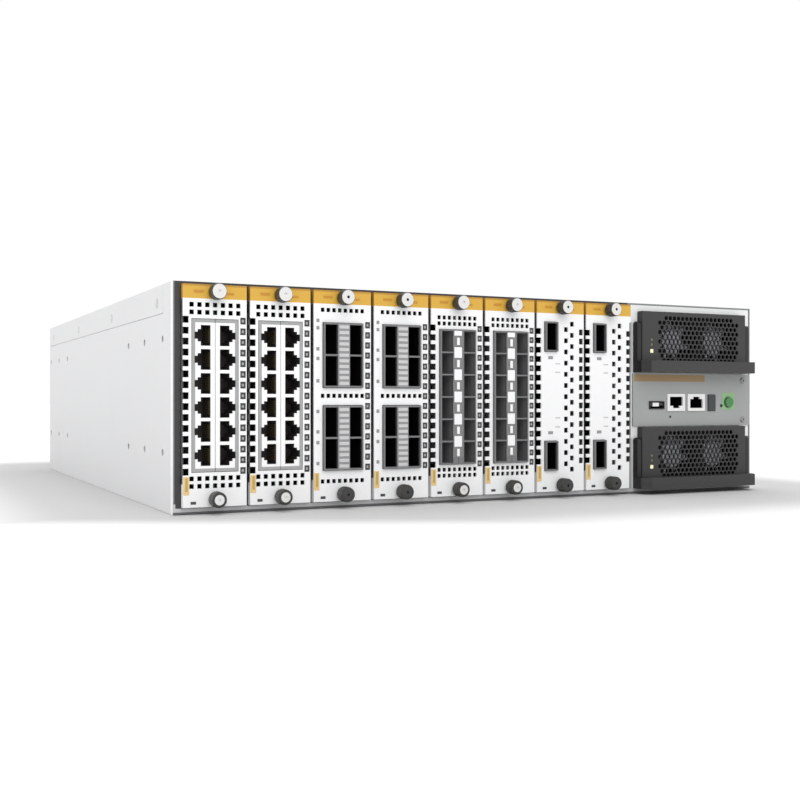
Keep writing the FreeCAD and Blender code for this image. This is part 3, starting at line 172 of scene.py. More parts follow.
class SwitchColours(bpy.types.PropertyGroup):
    chassis: colour("Chassis", "Coat of the base, cover and rear panel", (0.74, 0.745, 0.75))
    surround: colour("Surround", "Frame round the power supplies", (0.86, 0.87, 0.87))
    edge: colour("Edge", "Shaded edges of the chassis sheet", (0.23, 0.235, 0.24))
    # Painted shade: dark on the right front edge of the chassis sheet, and a contact shadow along
    # its foot.
    edge_shade: colour("Edge shade", "Dark edges of the chassis sheet", (0.13, 0.13, 0.135))
    recess: colour("Recess", "Shaded frame beside the modules", (0.036, 0.0365, 0.038))
    # Painted shade: near-black for the deep inside of the chassis, the gaps beside the supplies, the
    # handle arms, the front of the supply cases and the insides of the panel sockets.
    hollow_shade: colour("Hollow shade", "Deep inside of the chassis", (0.006, 0.006, 0.006))
    # Painted shade: grey for the base's front edge under the overhanging modules and for the frame
    # strip beside the supplies.
    lip: colour("Lip", "Edge of the base below the modules", (0.60, 0.605, 0.61))
    face: colour("Faceplate", "Coat of the module faceplates", (0.93, 0.935, 0.94))
    fold: colour("Fold", "Shaded sides of the faceplates", (0.10, 0.102, 0.105))
    band: colour("Band", "Printed band along the top of the modules", (0.705, 0.409, 0.0517))
    band_mark: colour("Band mark", "Plain darker bars on that band", (0.58, 0.27, 0.03))
    # Painted shade: darker orange on the faceplate sides at the band and along the faceplates' top
    # edge.
    band_shade: colour("Band shade", "Sides of the faceplates at the band", (0.50, 0.26, 0.035))
    strip_print: colour("Foot strip", "Narrow strip at the foot of a module", (0.86, 0.58, 0.24))
    bar_print: colour("Foot bar", "Darker bar on that strip", (0.50, 0.38, 0.11))
    jack: colour("Jack block", "Front of the ganged jacks", (0.95, 0.95, 0.945))
    # Painted shade: grey rim round the pale front of the jack blocks, for the shaded gap round them.
    jack_rim_shade: colour("Jack rim shade", "Outline of the ganged jacks", (0.38, 0.38, 0.385))
    # Inside of a jack: its dark moulding, together with painted shade.
    jack_inside: colour("Jack inside", "Inside of a jack", (0.045, 0.0403, 0.04))
    cage: colour("Cage", "Sheet metal rim of the cages", (0.19, 0.19, 0.195))
    # Painted shade inside the cages: near-black in the large and single ones, grey in the small
    # ones.
    cage_inside_shade: colour("Cage inside shade", "Inside of a large cage", (0.005, 0.005, 0.005))
    small_inside_shade: colour("Small cage inside shade", "Inside of a small cage", (0.30, 0.30, 0.305))
    ladder: colour("Ladder", "Ribbed strip between the large cages", (0.30, 0.30, 0.31))
    rib: colour("Rib", "Ribs of that strip", (0.60, 0.60, 0.60))
    clip: colour("Clip", "Latch clips between the small cages", (0.22, 0.22, 0.22))
    finger: colour("Spring finger", "Sprung contacts along a faceplate's edge", (0.38, 0.38, 0.39))
    lamp: colour("Lamp", "Unlit port lamps", (0.30, 0.30, 0.30))
    knurl: colour("Knurl", "Grip of a thumbscrew", (0.058, 0.056, 0.054))
    screw: colour("Screw end", "Flat end of a thumbscrew", (0.78, 0.78, 0.77))
    bezel: colour("Bezel", "Moulded front of a power supply", (0.030, 0.030, 0.030))
    handle: colour("Handle", "Locking handle of a power supply", (0.033, 0.031, 0.031))
    fan: colour("Fan", "Moulded fan rotor", (0.60, 0.62, 0.66))
    panel: colour("Panel", "Coat of the management panel", (0.40, 0.412, 0.406))
    stripe: colour("Stripe", "Strip along the top of that panel", (0.39, 0.257, 0.12))
    socket: colour("Socket", "Frames of the panel sockets", (0.88, 0.88, 0.87))
    display: colour("Display", "Status display", (0.032, 0.040, 0.041))
    patch: colour("Patch", "Ground of the push button", (0.29, 0.53, 0.25))
    button: colour("Button", "Push button", (0.05, 0.22, 0.06))
    lens: colour("Lens", "Lit lens of a power supply", (0.90, 0.88, 0.55))


class SwitchSizes(bpy.types.PropertyGroup):
    band: length("Band height", "Printed band below the top of a faceplate", 8.2 * MM)
    comb: length("Comb pitch", "Spacing of the holes in a power supply grille", 3.8 * MM)
    web: length("Comb web", "Web between two holes of that grille", 0.85 * MM)
    ridges: IntProperty(name="Grip ridges", description="Ridges round a thumbscrew", min=12,
                        max=60, default=28)
    contacts: IntProperty(name="Contacts", description="Contacts in a jack", min=4, max=8,
                          default=8)


def colours():
    return bpy.context.scene.switch_colours


def sizes():
    return bpy.context.scene.switch_sizes


# ------------------------------------------------------------------ finishes

def group_socket(group, name, kind, inward, default=None):
    made = group.interface.new_socket(name, in_out="INPUT" if inward else "OUTPUT",
                                      socket_type=kind)
    if default is not None:
        made.default_value = default


def node(tree, kind, **settings):
    made = tree.nodes.new(kind)
    for name, value in settings.items():
        setattr(made, name, value)
    return made


def surface_grain():
    """Node group: slow blotches in the colour, and grain for roughness and bump."""
    if "Surface grain" in bpy.data.node_groups:
        return bpy.data.node_groups["Surface grain"]
    group = bpy.data.node_groups.new("Surface grain", "ShaderNodeTree")
    group_socket(group, "Vector", "NodeSocketVector", True)
    group_socket(group, "Colour", "NodeSocketColor", True, (0.8, 0.8, 0.8, 1))
    group_socket(group, "Scale", "NodeSocketFloat", True, 900.0)
    group_socket(group, "Blotch", "NodeSocketFloat", True, 0.08)
    group_socket(group, "Roughness", "NodeSocketFloat", True, 0.5)
    group_socket(group, "Spread", "NodeSocketFloat", True, 0.1)
    group_socket(group, "Colour", "NodeSocketColor", False)
    group_socket(group, "Roughness", "NodeSocketFloat", False)
    group_socket(group, "Height", "NodeSocketFloat", False)
    entry = node(group, "NodeGroupInput")
    leave = node(group, "NodeGroupOutput")
    link = group.links.new
    fine = node(group, "ShaderNodeTexNoise")
    fine.inputs["Detail"].default_value = 3.0
    link(entry.outputs["Vector"], fine.inputs["Vector"])
    link(entry.outputs["Scale"], fine.inputs["Scale"])
    slow_scale = node(group, "ShaderNodeMath", operation="MULTIPLY")
    slow_scale.inputs[1].default_value = 0.022
    link(entry.outputs["Scale"], slow_scale.inputs[0])
    slow = node(group, "ShaderNodeTexNoise")
    slow.inputs["Detail"].default_value = 4.0
    link(entry.outputs["Vector"], slow.inputs["Vector"])
    link(slow_scale.outputs[0], slow.inputs["Scale"])
    weight = node(group, "ShaderNodeMath", operation="MULTIPLY")
    link(slow.outputs["Fac"], weight.inputs[0])
    link(entry.outputs["Blotch"], weight.inputs[1])
    darker = node(group, "ShaderNodeMix", data_type="RGBA", blend_type="MULTIPLY")
    darker.inputs["B"].default_value = (0.45, 0.45, 0.46, 1)
    link(weight.outputs[0], darker.inputs["Factor"])
    link(entry.outputs["Colour"], darker.inputs["A"])
    link(darker.outputs["Result"], leave.inputs["Colour"])
    centred = node(group, "ShaderNodeMath", operation="SUBTRACT")
    centred.inputs[1].default_value = 0.5
    link(fine.outputs["Fac"], centred.inputs[0])
    spread = node(group, "ShaderNodeMath", operation="MULTIPLY_ADD", use_clamp=True)
    link(centred.outputs[0], spread.inputs[0])
    link(entry.outputs["Spread"], spread.inputs[1])
    link(entry.outputs["Roughness"], spread.inputs[2])
    link(spread.outputs[0], leave.inputs["Roughness"])
    link(fine.outputs["Fac"], leave.inputs["Height"])
    return group


def between():
    """Node group: 1 where a value lies between two limits, with a soft edge."""
    if "Between" in bpy.data.node_groups:
        return bpy.data.node_groups["Between"]
    group = bpy.data.node_groups.new("Between", "ShaderNodeTree")
    for name, default in (("Value", 0.0), ("Low", 0.0), ("High", 1.0), ("Edge", 0.0001)):
        group_socket(group, name, "NodeSocketFloat", True, default)
    group_socket(group, "Mask", "NodeSocketFloat", False)
    entry = node(group, "NodeGroupInput")
    leave = node(group, "NodeGroupOutput")
    link = group.links.new
    both = node(group, "ShaderNodeMath", operation="MULTIPLY")
    for side, (first, second) in enumerate((("Value", "Low"), ("High", "Value"))):
        gap = node(group, "ShaderNodeMath", operation="SUBTRACT")
        link(entry.outputs[first], gap.inputs[0])
        link(entry.outputs[second], gap.inputs[1])
        rise = node(group, "ShaderNodeMath", operation="DIVIDE", use_clamp=True)
        link(gap.outputs[0], rise.inputs[0])
        link(entry.outputs["Edge"], rise.inputs[1])
        link(rise.outputs[0], both.inputs[side])
    link(both.outputs[0], leave.inputs["Mask"])
    return group


class Finish:
    """A Principled material on Object coordinates, with colour zones laid one over another."""

    SPREAD = 0.12
    BUMP, BUMP_STRENGTH = 0.02 * MM, 0.6

    def __init__(self, name, base, rough, metal=0.0, scale=900.0, blotch=0.08, coat=0.0):
        self.material = bpy.data.materials.new(name)
        self.material.use_nodes = True
        self.tree = self.material.node_tree
        self.shader = self.tree.nodes["Principled BSDF"]
        self.shader.inputs["Metallic"].default_value = metal
        self.shader.inputs["Coat Weight"].default_value = coat
        self.base = (*base, 1)
        self.material.diffuse_color = self.base
        link = self.tree.links.new
        place = node(self.tree, "ShaderNodeTexCoord").outputs["Object"]
        self.axes = node(self.tree, "ShaderNodeSeparateXYZ")
        link(place, self.axes.inputs[0])
        self.grain = node(self.tree, "ShaderNodeGroup", node_tree=surface_grain())
        for socket, value in (("Scale", scale), ("Blotch", blotch), ("Roughness", rough),
                              ("Spread", self.SPREAD), ("Colour", self.base)):
            self.grain.inputs[socket].default_value = value
        link(place, self.grain.inputs["Vector"])
        link(self.grain.outputs["Colour"], self.shader.inputs["Base Color"])
        link(self.grain.outputs["Roughness"], self.shader.inputs["Roughness"])
        raised = node(self.tree, "ShaderNodeBump")
        raised.inputs["Distance"].default_value = self.BUMP
        raised.inputs["Strength"].default_value = self.BUMP_STRENGTH
        link(self.grain.outputs["Height"], raised.inputs["Height"])
        link(raised.outputs["Normal"], self.shader.inputs["Normal"])
        self.last = None

    def zone(self, tint, *spans, edge=0.1 * MM):
        """Paint a colour where every span, given as (axis, low, high), holds."""
        link = self.tree.links.new
        mask = None
        for axis, low, high in spans:
            part = node(self.tree, "ShaderNodeGroup", node_tree=between())
            for socket, value in (("Low", low), ("High", high), ("Edge", edge)):
                part.inputs[socket].default_value = value
            link(self.axes.outputs[axis], part.inputs["Value"])
            if mask is None:
                mask = part.outputs["Mask"]
                continue
            both = node(self.tree, "ShaderNodeMath", operation="MULTIPLY")
            link(mask, both.inputs[0])
            link(part.outputs["Mask"], both.inputs[1])
            mask = both.outputs[0]
        mix = node(self.tree, "ShaderNodeMix", data_type="RGBA")
        mix.inputs["A"].default_value = self.base
        mix.inputs["B"].default_value = (*tint, 1)
        link(mask, mix.inputs["Factor"])
        if self.last is not None:
            link(self.last, mix.inputs["A"])
        self.last = mix.outputs["Result"]
        link(self.last, self.grain.inputs["Colour"])


def clad(names, material):
    """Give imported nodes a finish."""
    for name in names:
        for place in NODES[name].material_slots:
            place.material = material


def plain(name, base, rough, **settings):
    return Finish(name, base, rough, **settings).material


# ------------------------------------------------------------------ shaping

def block(bm, low, high, bevel=0.0, mark=0):
    """A bevelled bar between two corners."""
    low, high = Vector(low), Vector(high)
    place = Matrix.Translation((low + high) / 2) @ Matrix.Diagonal((*(high - low), 1))
    made = bmesh.ops.create_cube(bm, size=1.0, matrix=place)
    faces = {face for vert in made["verts"] for face in vert.link_faces}
    for face in faces:
        face.material_index = mark
    if bevel:
        edges = list({edge for face in faces for edge in face.edges})
        bmesh.ops.bevel(bm, geom=edges, offset=bevel, affect="EDGES", segments=1, profile=0.5,
                        material=-1)


def turned(bm, profile, centre, steps, mark=0):
    """Spin a profile of (radius, distance towards the rear) about an axis along Y."""
    centre = Vector(centre)
    before = set(bm.faces)
    ring = [bm.verts.new(centre + Vector((radius, back, 0))) for radius, back in profile]
    edges = [bm.edges.new(pair) for pair in zip(ring, ring[1:])]
    bmesh.ops.spin(bm, geom=ring + edges, cent=centre, axis=(0, 1, 0), angle=2 * math.pi,
                   steps=steps, use_merge=True)
    faces = [face for face in bm.faces if face not in before]
    for face in faces:
        face.material_index = mark
    return faces


def piece(name, bm, body, slot, *materials):
    """Make a finished piece that moves with a body of the switch."""
    bmesh.ops.remove_doubles(bm, verts=bm.verts, dist=1e-7)
    bmesh.ops.recalc_face_normals(bm, faces=bm.faces)
    mesh = bpy.data.meshes.new(name)
    bm.to_mesh(mesh)
    bm.free()
    made = bpy.data.objects.new(name, mesh)
    bpy.context.scene.collection.objects.link(made)
    for material in materials:
        mesh.materials.append(material)
    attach(made, body)
    return made


class SwitchOperator(bpy.types.Operator):
    bl_options = {"REGISTER", "UNDO"}


# ------------------------------------------------------------------ chassis

class SWITCH_OT_chassis(SwitchOperator):
    """Coat the sheet metal of the chassis and its inner frame, with painted shade and a painted
    highlight on their edges
    """
    bl_idname = "switch.chassis"
    bl_label = "Chassis"

    def execute(self, context):
        look = colours()
        low, high = CHASSIS[0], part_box("top_cover")[1]
        edge = ("Y", low.y - PAST, low.y + 0.2 * MM)
        beside = (MODULES_END + PAST, high.x + PAST)
        modules = ("X", low.x + 0.9 * MM, MODULES_END + PAST)
        coat = Finish("Chassis coat", look.chassis, 0.6, scale=1400, blotch=0.06)
        # Painted highlight: a thin pale line down the side wall's front edge, for light caught by
        # its rolled edge.
        coat.zone(look.face, ("Y", low.y - PAST, low.y + 4 * MM),
                  ("X", low.x - PAST, low.x + 0.2 * MM))
        # Painted shade on the front edges of the chassis sheet: grey at the left wall and beside the
        # supplies, near-black over the modules, dark at the right edge.
        coat.zone(look.edge, edge, ("X", low.x + 0.1 * MM, low.x + 2 * MM))
        coat.zone(look.edge, edge, ("X", *beside))
        coat.zone(look.edge_shade, edge, ("X", high.x - 1.4 * MM, high.x + PAST))
        coat.zone(look.recess, edge, modules)
        # Painted shade on the base's front edge below the overhanging modules.
        coat.zone(look.lip, edge, ("Z", low.z + 1.3 * MM, low.z + 6 * MM))
        # Painted shadow: a dark contact line along the foot of the base.
        coat.zone(look.edge_shade, edge, ("Z", low.z + 0.1 * MM, low.z + 1.3 * MM))
        self.inlets(coat, look)
        clad(["base_pan", "top_cover", "rear_panel"], coat.material)
        cage = Finish("Frame coat", look.surround, 0.5, scale=1400, blotch=0.05)
        # Painted shade on the inner frame round the modules: dark at its front, near-black deeper
        # in, so that it looks dark through the vents.
        cage.zone(look.recess, ("Y", low.y - PAST, low.y + 200 * MM), modules)
        cage.zone(look.hollow_shade, ("Y", low.y + 6 * MM, low.y + 300 * MM),
                  ("X", FACE[0][0].x, MODULES_END + PAST))
        for supply in SUPPLIES.values():
            arms = ("Z", supply[0].z, supply[1].z - HANDLE_BAR * MM)
            # Painted shade: near-black in the gap right of each supply, beside its handle arm.
            cage.zone(look.hollow_shade, ("X", supply[1].x + 1 * MM, high.x - 1.5 * MM), arms)
            # Painted shade on the frame strip between the last module and the supplies.
            cage.zone(look.lip, ("X", beside[0], supply[0].x - 4.4 * MM), arms)
        clad(["card_cage"], cage.material)
        board = plain("Circuit board", (0.02, 0.10, 0.055), 0.35, scale=500, blotch=0.3)
        clad(["midplane"] + [f"bay{bay}_card" for bay in BAYS], board)
        clad(["cover_screws"], plain("Screw plating", (0.62, 0.62, 0.61), 0.3, metal=0.9,
                                     scale=2500))
        return {"FINISHED"}

    def inlets(self, coat, look):
        """Dark moulding and grey pins of the two power inlets in the rear panel."""
        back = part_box("rear_panel")[1].y
        proud = back - 1.9 * MM
        coat.zone(look.bezel, ("Y", proud, back + PAST))
        left, right = INLET_SIDES
        for middle in INLET_MIDDLES:
            coat.zone(look.bezel, ("Y", back - 17 * MM, proud), ("X", left * MM, right * MM),
                      ("Z", (middle - INLET_HALF) * MM, (middle + INLET_HALF) * MM))
            for pin in INLET_PINS:
                half, rise = PIN_HALF
                coat.zone(look.edge, ("Y", back - 15.8 * MM, back - 3.8 * MM),
                          ("X", (pin - half) * MM, (pin + half) * MM),
                          ("Z", (middle - rise) * MM, (middle + rise) * MM))


# ------------------------------------------------------------------ modules

class SWITCH_OT_faceplates(SwitchOperator):
    """Coat the module faceplates with painted shade on their sides and edges, print the band along
    their tops and add the foot strips
    """
    bl_idname = "switch.faceplates"
    bl_label = "Faceplates"

    def execute(self, context):
        look = colours()
        line = FACE_TOP - sizes().band
        coat = Finish("Faceplate coat", look.face, 0.45, scale=1600, blotch=0.03)
        fold = FACE_FRONT + 0.9 * MM
        coat.zone(look.band, ("Z", line, FACE_TOP + PAST), ("Y", FACE_FRONT - PAST, fold))
        # Painted shade along the top edge of the faceplates, under the cover's lip.
        coat.zone(look.band_shade, ("Z", FACE_TOP - 1.1 * MM, FACE_TOP + PAST))
        # Painted shade down the right edge of the last faceplate, beside the supplies.
        coat.zone(look.edge, ("X", MODULES_END - 1.3 * MM, MODULES_END + PAST),
                  ("Z", FACE_FOOT, line - 4 * MM))
        # Painted shade on the faceplate sides seen in the gaps between modules: dark orange at the
        # band, dark grey below it.
        behind = ("Y", fold, FACE_FRONT + 40 * MM)
        coat.zone(look.band_shade, behind, ("Z", line, FACE_TOP + PAST))
        coat.zone(look.fold, behind, ("Z", FACE_FOOT + 13 * MM, line))
        clad([f"bay{bay}_faceplate" for bay in BAYS], coat.material)
        strip = plain("Foot strip print", look.strip_print, 0.5, scale=1600, blotch=0.1)
        bar = plain("Foot bar print", look.bar_print, 0.5, scale=1600, blotch=0.1)
        dark = plain("Dark print", (0.05, 0.05, 0.05), 0.5, scale=1600)
        darker = plain("Band mark print", look.band_mark, 0.5, scale=1600)
        pale = plain("Pale print", (0.60, 0.60, 0.60), 0.5, scale=1600)
        for bay, (low, _) in zip(BAYS, FACE):
            bm = bmesh.new()
            prints = FOOT_PRINTS + BAND_BARS + (PORT_LINES if bay in SINGLE_BAYS else ())
            for left, right, bottom, top, proud, mark in prints:
                block(bm, (low.x + left * MM, FACE_FRONT - proud * MM, low.z + bottom * MM),
                      (low.x + right * MM, FACE_FRONT, low.z + top * MM), PRINT_BEVEL, mark)
            piece(f"bay{bay}_prints", bm, f"bay{bay}_module", "face_paint", strip, bar, dark,
                  darker, pale)
        return {"FINISHED"}


class SWITCH_OT_fingers(SwitchOperator):
    """Set the sprung earthing contacts seen in the vents along the right edges, each on a dark plate
    of painted shade
    """
    bl_idname = "switch.fingers"
    bl_label = "Spring fingers"

    def execute(self, context):
        look = colours()
        # Painted shade: a dark plate behind each finger, for the shaded rim of its vent hole.
        dark = plain("Finger hole shade", look.recess, 0.4, scale=2000)
        light = plain("Finger metal", look.finger, 0.35, metal=0.4, scale=2500)
        for bay in JACK_BAYS + LARGE_BAYS + SMALL_BAYS:
            low, high = FACE[bay - 1]
            bm = bmesh.new()
            x = high.x - FINGER_INSET * MM
            for row in range(FINGERS):
                z = low.z + (FINGER_FOOT + FINGER_PITCH * row) * MM
                block(bm, (x - 1.6 * MM, FACE_FRONT + 0.4 * MM, z - 1.9 * MM),
                      (x + 1.6 * MM, FACE_FRONT + 1.1 * MM, z + 1.9 * MM))
                block(bm, (x - 0.7 * MM, FACE_FRONT + 0.1 * MM, z - 0.8 * MM),
                      (x + 0.7 * MM, FACE_FRONT + 0.4 * MM, z + 0.8 * MM), 0.15 * MM, 1)
            piece(f"bay{bay}_fingers", bm, f"bay{bay}_module", "cage_metal", dark, light)
        return {"FINISHED"}


class SWITCH_OT_ports(SwitchOperator):
    """Finish the jacks and cages, pale at their fronts, with painted shade inside them and round the
    jack blocks
    """
    bl_idname = "switch.ports"
    bl_label = "Ports"

    def execute(self, context):
        look = colours()
        rim, mouth = 1.9 * MM, 0.15 * MM
        for bay in JACK_BAYS:
            names = [f"bay{bay}_jacks_{side}" for side in ("left", "right")]
            low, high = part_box(names[0])[0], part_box(names[1])[1]
            # Painted shade: the grey rim round the pale front stands for the shaded gap round the
            # block.
            jack = Finish(f"Jack moulding {bay}", look.jack_rim_shade, 0.4, scale=1500, blotch=0.05)
            jack.zone(look.jack, ("X", low.x + rim, high.x - rim),
                      ("Z", low.z + rim, high.z - rim))
            # Dark moulding and painted shade inside the jacks, by depth behind the mouth.
            jack.zone(look.jack_inside, ("Y", FACE_FRONT + mouth, FACE_FRONT + DEEP * MM),
                      edge=0.5 * MM)
            clad(names, jack.material)
        for kind, bays, ends, inside in (
                ("Large", LARGE_BAYS, ("cages_lower", "cages_upper"), look.cage_inside_shade),
                ("Small", SMALL_BAYS, ("cages_left", "cages_right"), look.small_inside_shade),
                ("Single", SINGLE_BAYS, ("cages",), look.cage_inside_shade)):
            names = [f"bay{bay}_{end}" for bay in bays for end in ends]
            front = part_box(names[0])[0].y
            cage = Finish(f"{kind} cage metal", look.cage, 0.38, metal=0.35, scale=1200,
                          blotch=0.15)
            # Painted shade inside each cage, by depth behind its mouth.
            cage.zone(inside, ("Y", front + 1.3 * MM, front + DEEP * MM), edge=1.0 * MM)
            clad(names, cage.material)
        return {"FINISHED"}


class SWITCH_OT_contacts(SwitchOperator):
    """Set the sprung contacts in every jack"""
    bl_idname = "switch.contacts"
    bl_label = "Jack contacts"

    def execute(self, context):
        gold = plain("Contact plating", (0.45, 0.29, 0.11), 0.3, metal=0.8, scale=3000)
        count = sizes().contacts
        for bay in JACK_BAYS:
            left, right = (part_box(f"bay{bay}_jacks_{side}") for side in ("left", "right"))
            middle = (left[1].x + right[0].x) / 2
            bottom = (left[0].z + left[1].z) / 2 - (JACKS - 1) / 2 * JACK_PITCH * MM
            bm = bmesh.new()
            for row in range(JACKS):
                for side in (-1, 1):
                    start, end = sorted((middle + side * 2.75 * MM, middle + side * 3.1 * MM))
                    for pin in range(count):
                        shift = (pin - (count - 1) / 2) * CONTACT_PITCH
                        z = bottom + (row * JACK_PITCH + shift) * MM
                        block(bm, (start, FACE_FRONT + 2.5 * MM, z - 0.2 * MM),
                              (end, FACE_FRONT + 13 * MM, z + 0.2 * MM))
            piece(f"bay{bay}_contacts", bm, f"bay{bay}_module", "cage_metal", gold)
        return {"FINISHED"}


class SWITCH_OT_lamps(SwitchOperator):
    """Set the small port lamps in the faceplates"""
    bl_idname = "switch.lamps"
    bl_label = "Port lamps"

    def execute(self, context):
        lamp = plain("Lamp lens", colours().lamp, 0.25, scale=2500, coat=0.4)
        for bay in LARGE_BAYS + SINGLE_BAYS:
            low = FACE[bay - 1][0]
            bm = bmesh.new()
            for x, z, half in LAMP_COLUMN if bay in LARGE_BAYS else LAMP_PAIR:
                block(bm, (low.x + (x - half) * MM, FACE_FRONT - 0.2 * MM,
                           low.z + (z - LAMP_HALF) * MM),
                      (low.x + (x + half) * MM, FACE_FRONT, low.z + (z + LAMP_HALF) * MM),
                      0.15 * MM)
            piece(f"bay{bay}_lamps", bm, f"bay{bay}_module", "cage_metal", lamp)
        return {"FINISHED"}


class SWITCH_OT_ladders(SwitchOperator):
    """Set the ribbed strips between the two columns of large cages"""
    bl_idname = "switch.ladders"
    bl_label = "Ribbed strips"

    def execute(self, context):
        look = colours()
        ground = plain("Ladder coat", look.ladder, 0.4, metal=0.2, scale=1800)
        rib = plain("Rib metal", look.rib, 0.35, metal=0.2, scale=1800)
        for bay in LARGE_BAYS:
            bm = bmesh.new()
            for end in ("lower", "upper"):
                low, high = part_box(f"bay{bay}_cages_{end}")
                middle = (low.x + high.x) / 2
                block(bm, (middle - 3.8 * MM, low.y - 0.15 * MM, low.z + 0.4 * MM),
                      (middle + 3.8 * MM, low.y, high.z - 0.4 * MM), 0.05 * MM)
                pitch = (high.z - low.z - 1.6 * MM) / RIBS
                for row in range(RIBS):
                    z = low.z + 0.8 * MM + (row + 0.5) * pitch
                    block(bm, (middle - 3.3 * MM, low.y - 0.5 * MM, z - 0.3 * pitch),
                          (middle + 3.3 * MM, low.y - 0.15 * MM, z + 0.3 * pitch), 0.15 * MM, 1)
            piece(f"bay{bay}_ladders", bm, f"bay{bay}_module", "cage_metal", ground, rib)
        return {"FINISHED"}


class SWITCH_OT_clips(SwitchOperator):
    """Set the bent latch clips on the strip between the small cages"""
    bl_idname = "switch.clips"
    bl_label = "Latch clips"

    def execute(self, context):
        clip = plain("Clip metal", colours().clip, 0.35, metal=0.4, scale=2000)
        strip = plain("Strip coat", colours().face, 0.45, scale=1600)
        for bay in SMALL_BAYS:
            first, last = (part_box(f"bay{bay}_cages_{side}") for side in ("left", "right"))
            middle = (first[1].x + last[0].x) / 2 - 0.5 * MM
            front = last[0].y
            bottom = (last[0].z + last[1].z) / 2 - (CLIPS - 1) / 2 * CLIP_PITCH * MM
            bm = bmesh.new()
            for row in range(CLIPS):
                z = bottom + row * CLIP_PITCH * MM
                for left, right, foot, head, back, proud, bevel, mark in CLIP_BLOCKS:
                    block(bm, (middle + left * MM, front - proud * MM, z + foot * MM),
                          (middle + right * MM, front - back * MM, z + head * MM),
                          bevel * MM, mark)
                top = min(z + 10.4 * MM, last[1].z - 0.8 * MM)
                block(bm, (middle - 2.8 * MM, front - 0.2 * MM, z + 3.6 * MM),
                      (middle + 2.8 * MM, front, top), 0.08 * MM, 1)
            piece(f"bay{bay}_clips", bm, f"bay{bay}_module", "cage_metal", clip, strip)
        return {"FINISHED"}


class SWITCH_OT_thumbscrews(SwitchOperator):
    """Turn the captive thumbscrews, knurled round the grip and recessed at the end, with painted
    shade in the recess of the darker screws
    """
    bl_idname = "switch.thumbscrews"
    bl_label = "Thumbscrews"
    GROOVE = 0.93

    def execute(self, context):
        look = colours()
        grip = plain("Knurled grip", look.knurl, 0.32, metal=0.6, scale=2500)
        end = plain("Screw end plating", look.screw, 0.3, metal=0.4, scale=2500)
        dull = plain("Screw end, dull", (0.055, 0.055, 0.055), 0.35, metal=0.4, scale=2500)
        # Painted shade: near-black for the recess in the end of the darker screws.
        pit = plain("Screw recess shade", (0.015, 0.015, 0.015), 0.5)
        steps = 2 * sizes().ridges
        for bay in BAYS:
            low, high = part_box(f"bay{bay}_thumbscrews")
            radius = (high.x - low.x) / 2
            x = (low.x + high.x) / 2
            bright = bay in JACK_BAYS + SMALL_BAYS
            bm = bmesh.new()
            self.head(bm, Vector((x, low.y, high.z - radius)), radius, steps,
                      radius - 0.5 * MM, 1, 1 if bright else 2)
            self.head(bm, Vector((x, low.y, low.z + radius)), radius, steps,
                      2.9 * MM, 1 if bright else 3, 1 if bright else 2)
            made = piece(f"bay{bay}_knobs", bm, f"bay{bay}_module", "screw_metal", grip, end,
                         pit, dull)
            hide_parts(f"bay{bay}_thumbscrews")
        return {"FINISHED"}

    def head(self, bm, centre, radius, steps, disc, disc_mark, pit_mark):
        """A disc of its own finish in a knurled grip, with a small recess in its middle, painted
        dark as shade on the darker screws.
        """
        back = FACE_FRONT - centre.y
        profile = [(0.0, 0.8 * MM), (0.8 * MM, 0.8 * MM), (0.9 * MM, 0.0), (disc, 0.0),
                   (radius - 0.3 * MM, 0.1 * MM), (radius, 0.6 * MM), (radius, back - 1.4 * MM),
                   (radius - 0.5 * MM, back - 1.1 * MM), (radius - 1.2 * MM, back),
                   (1.5 * MM, back), (1.5 * MM, back + 3.9 * MM), (0.0, back + 3.9 * MM)]
        faces = turned(bm, profile, centre, steps)
        for face in faces:
            middle = face.calc_center_median() - centre
            away = math.hypot(middle.x, middle.z)
            if middle.y < 1.0 * MM and away < 0.9 * MM:
                face.material_index = pit_mark
            elif middle.y < 0.02 * MM and away < disc:
                face.material_index = disc_mark
        edge = {vert for face in faces for vert in face.verts
                if math.hypot(vert.co.x - centre.x, vert.co.z - centre.z) > radius - 0.02 * MM}
        for vert in edge:
            place = vert.co - centre
            ridge = round(math.atan2(place.z, place.x) / (2 * math.pi) * steps)
            if ridge % 2:
                vert.co = centre + Vector((place.x * self.GROOVE, place.y,
                                           place.z * self.GROOVE))


# ------------------------------------------------------------------ power supplies

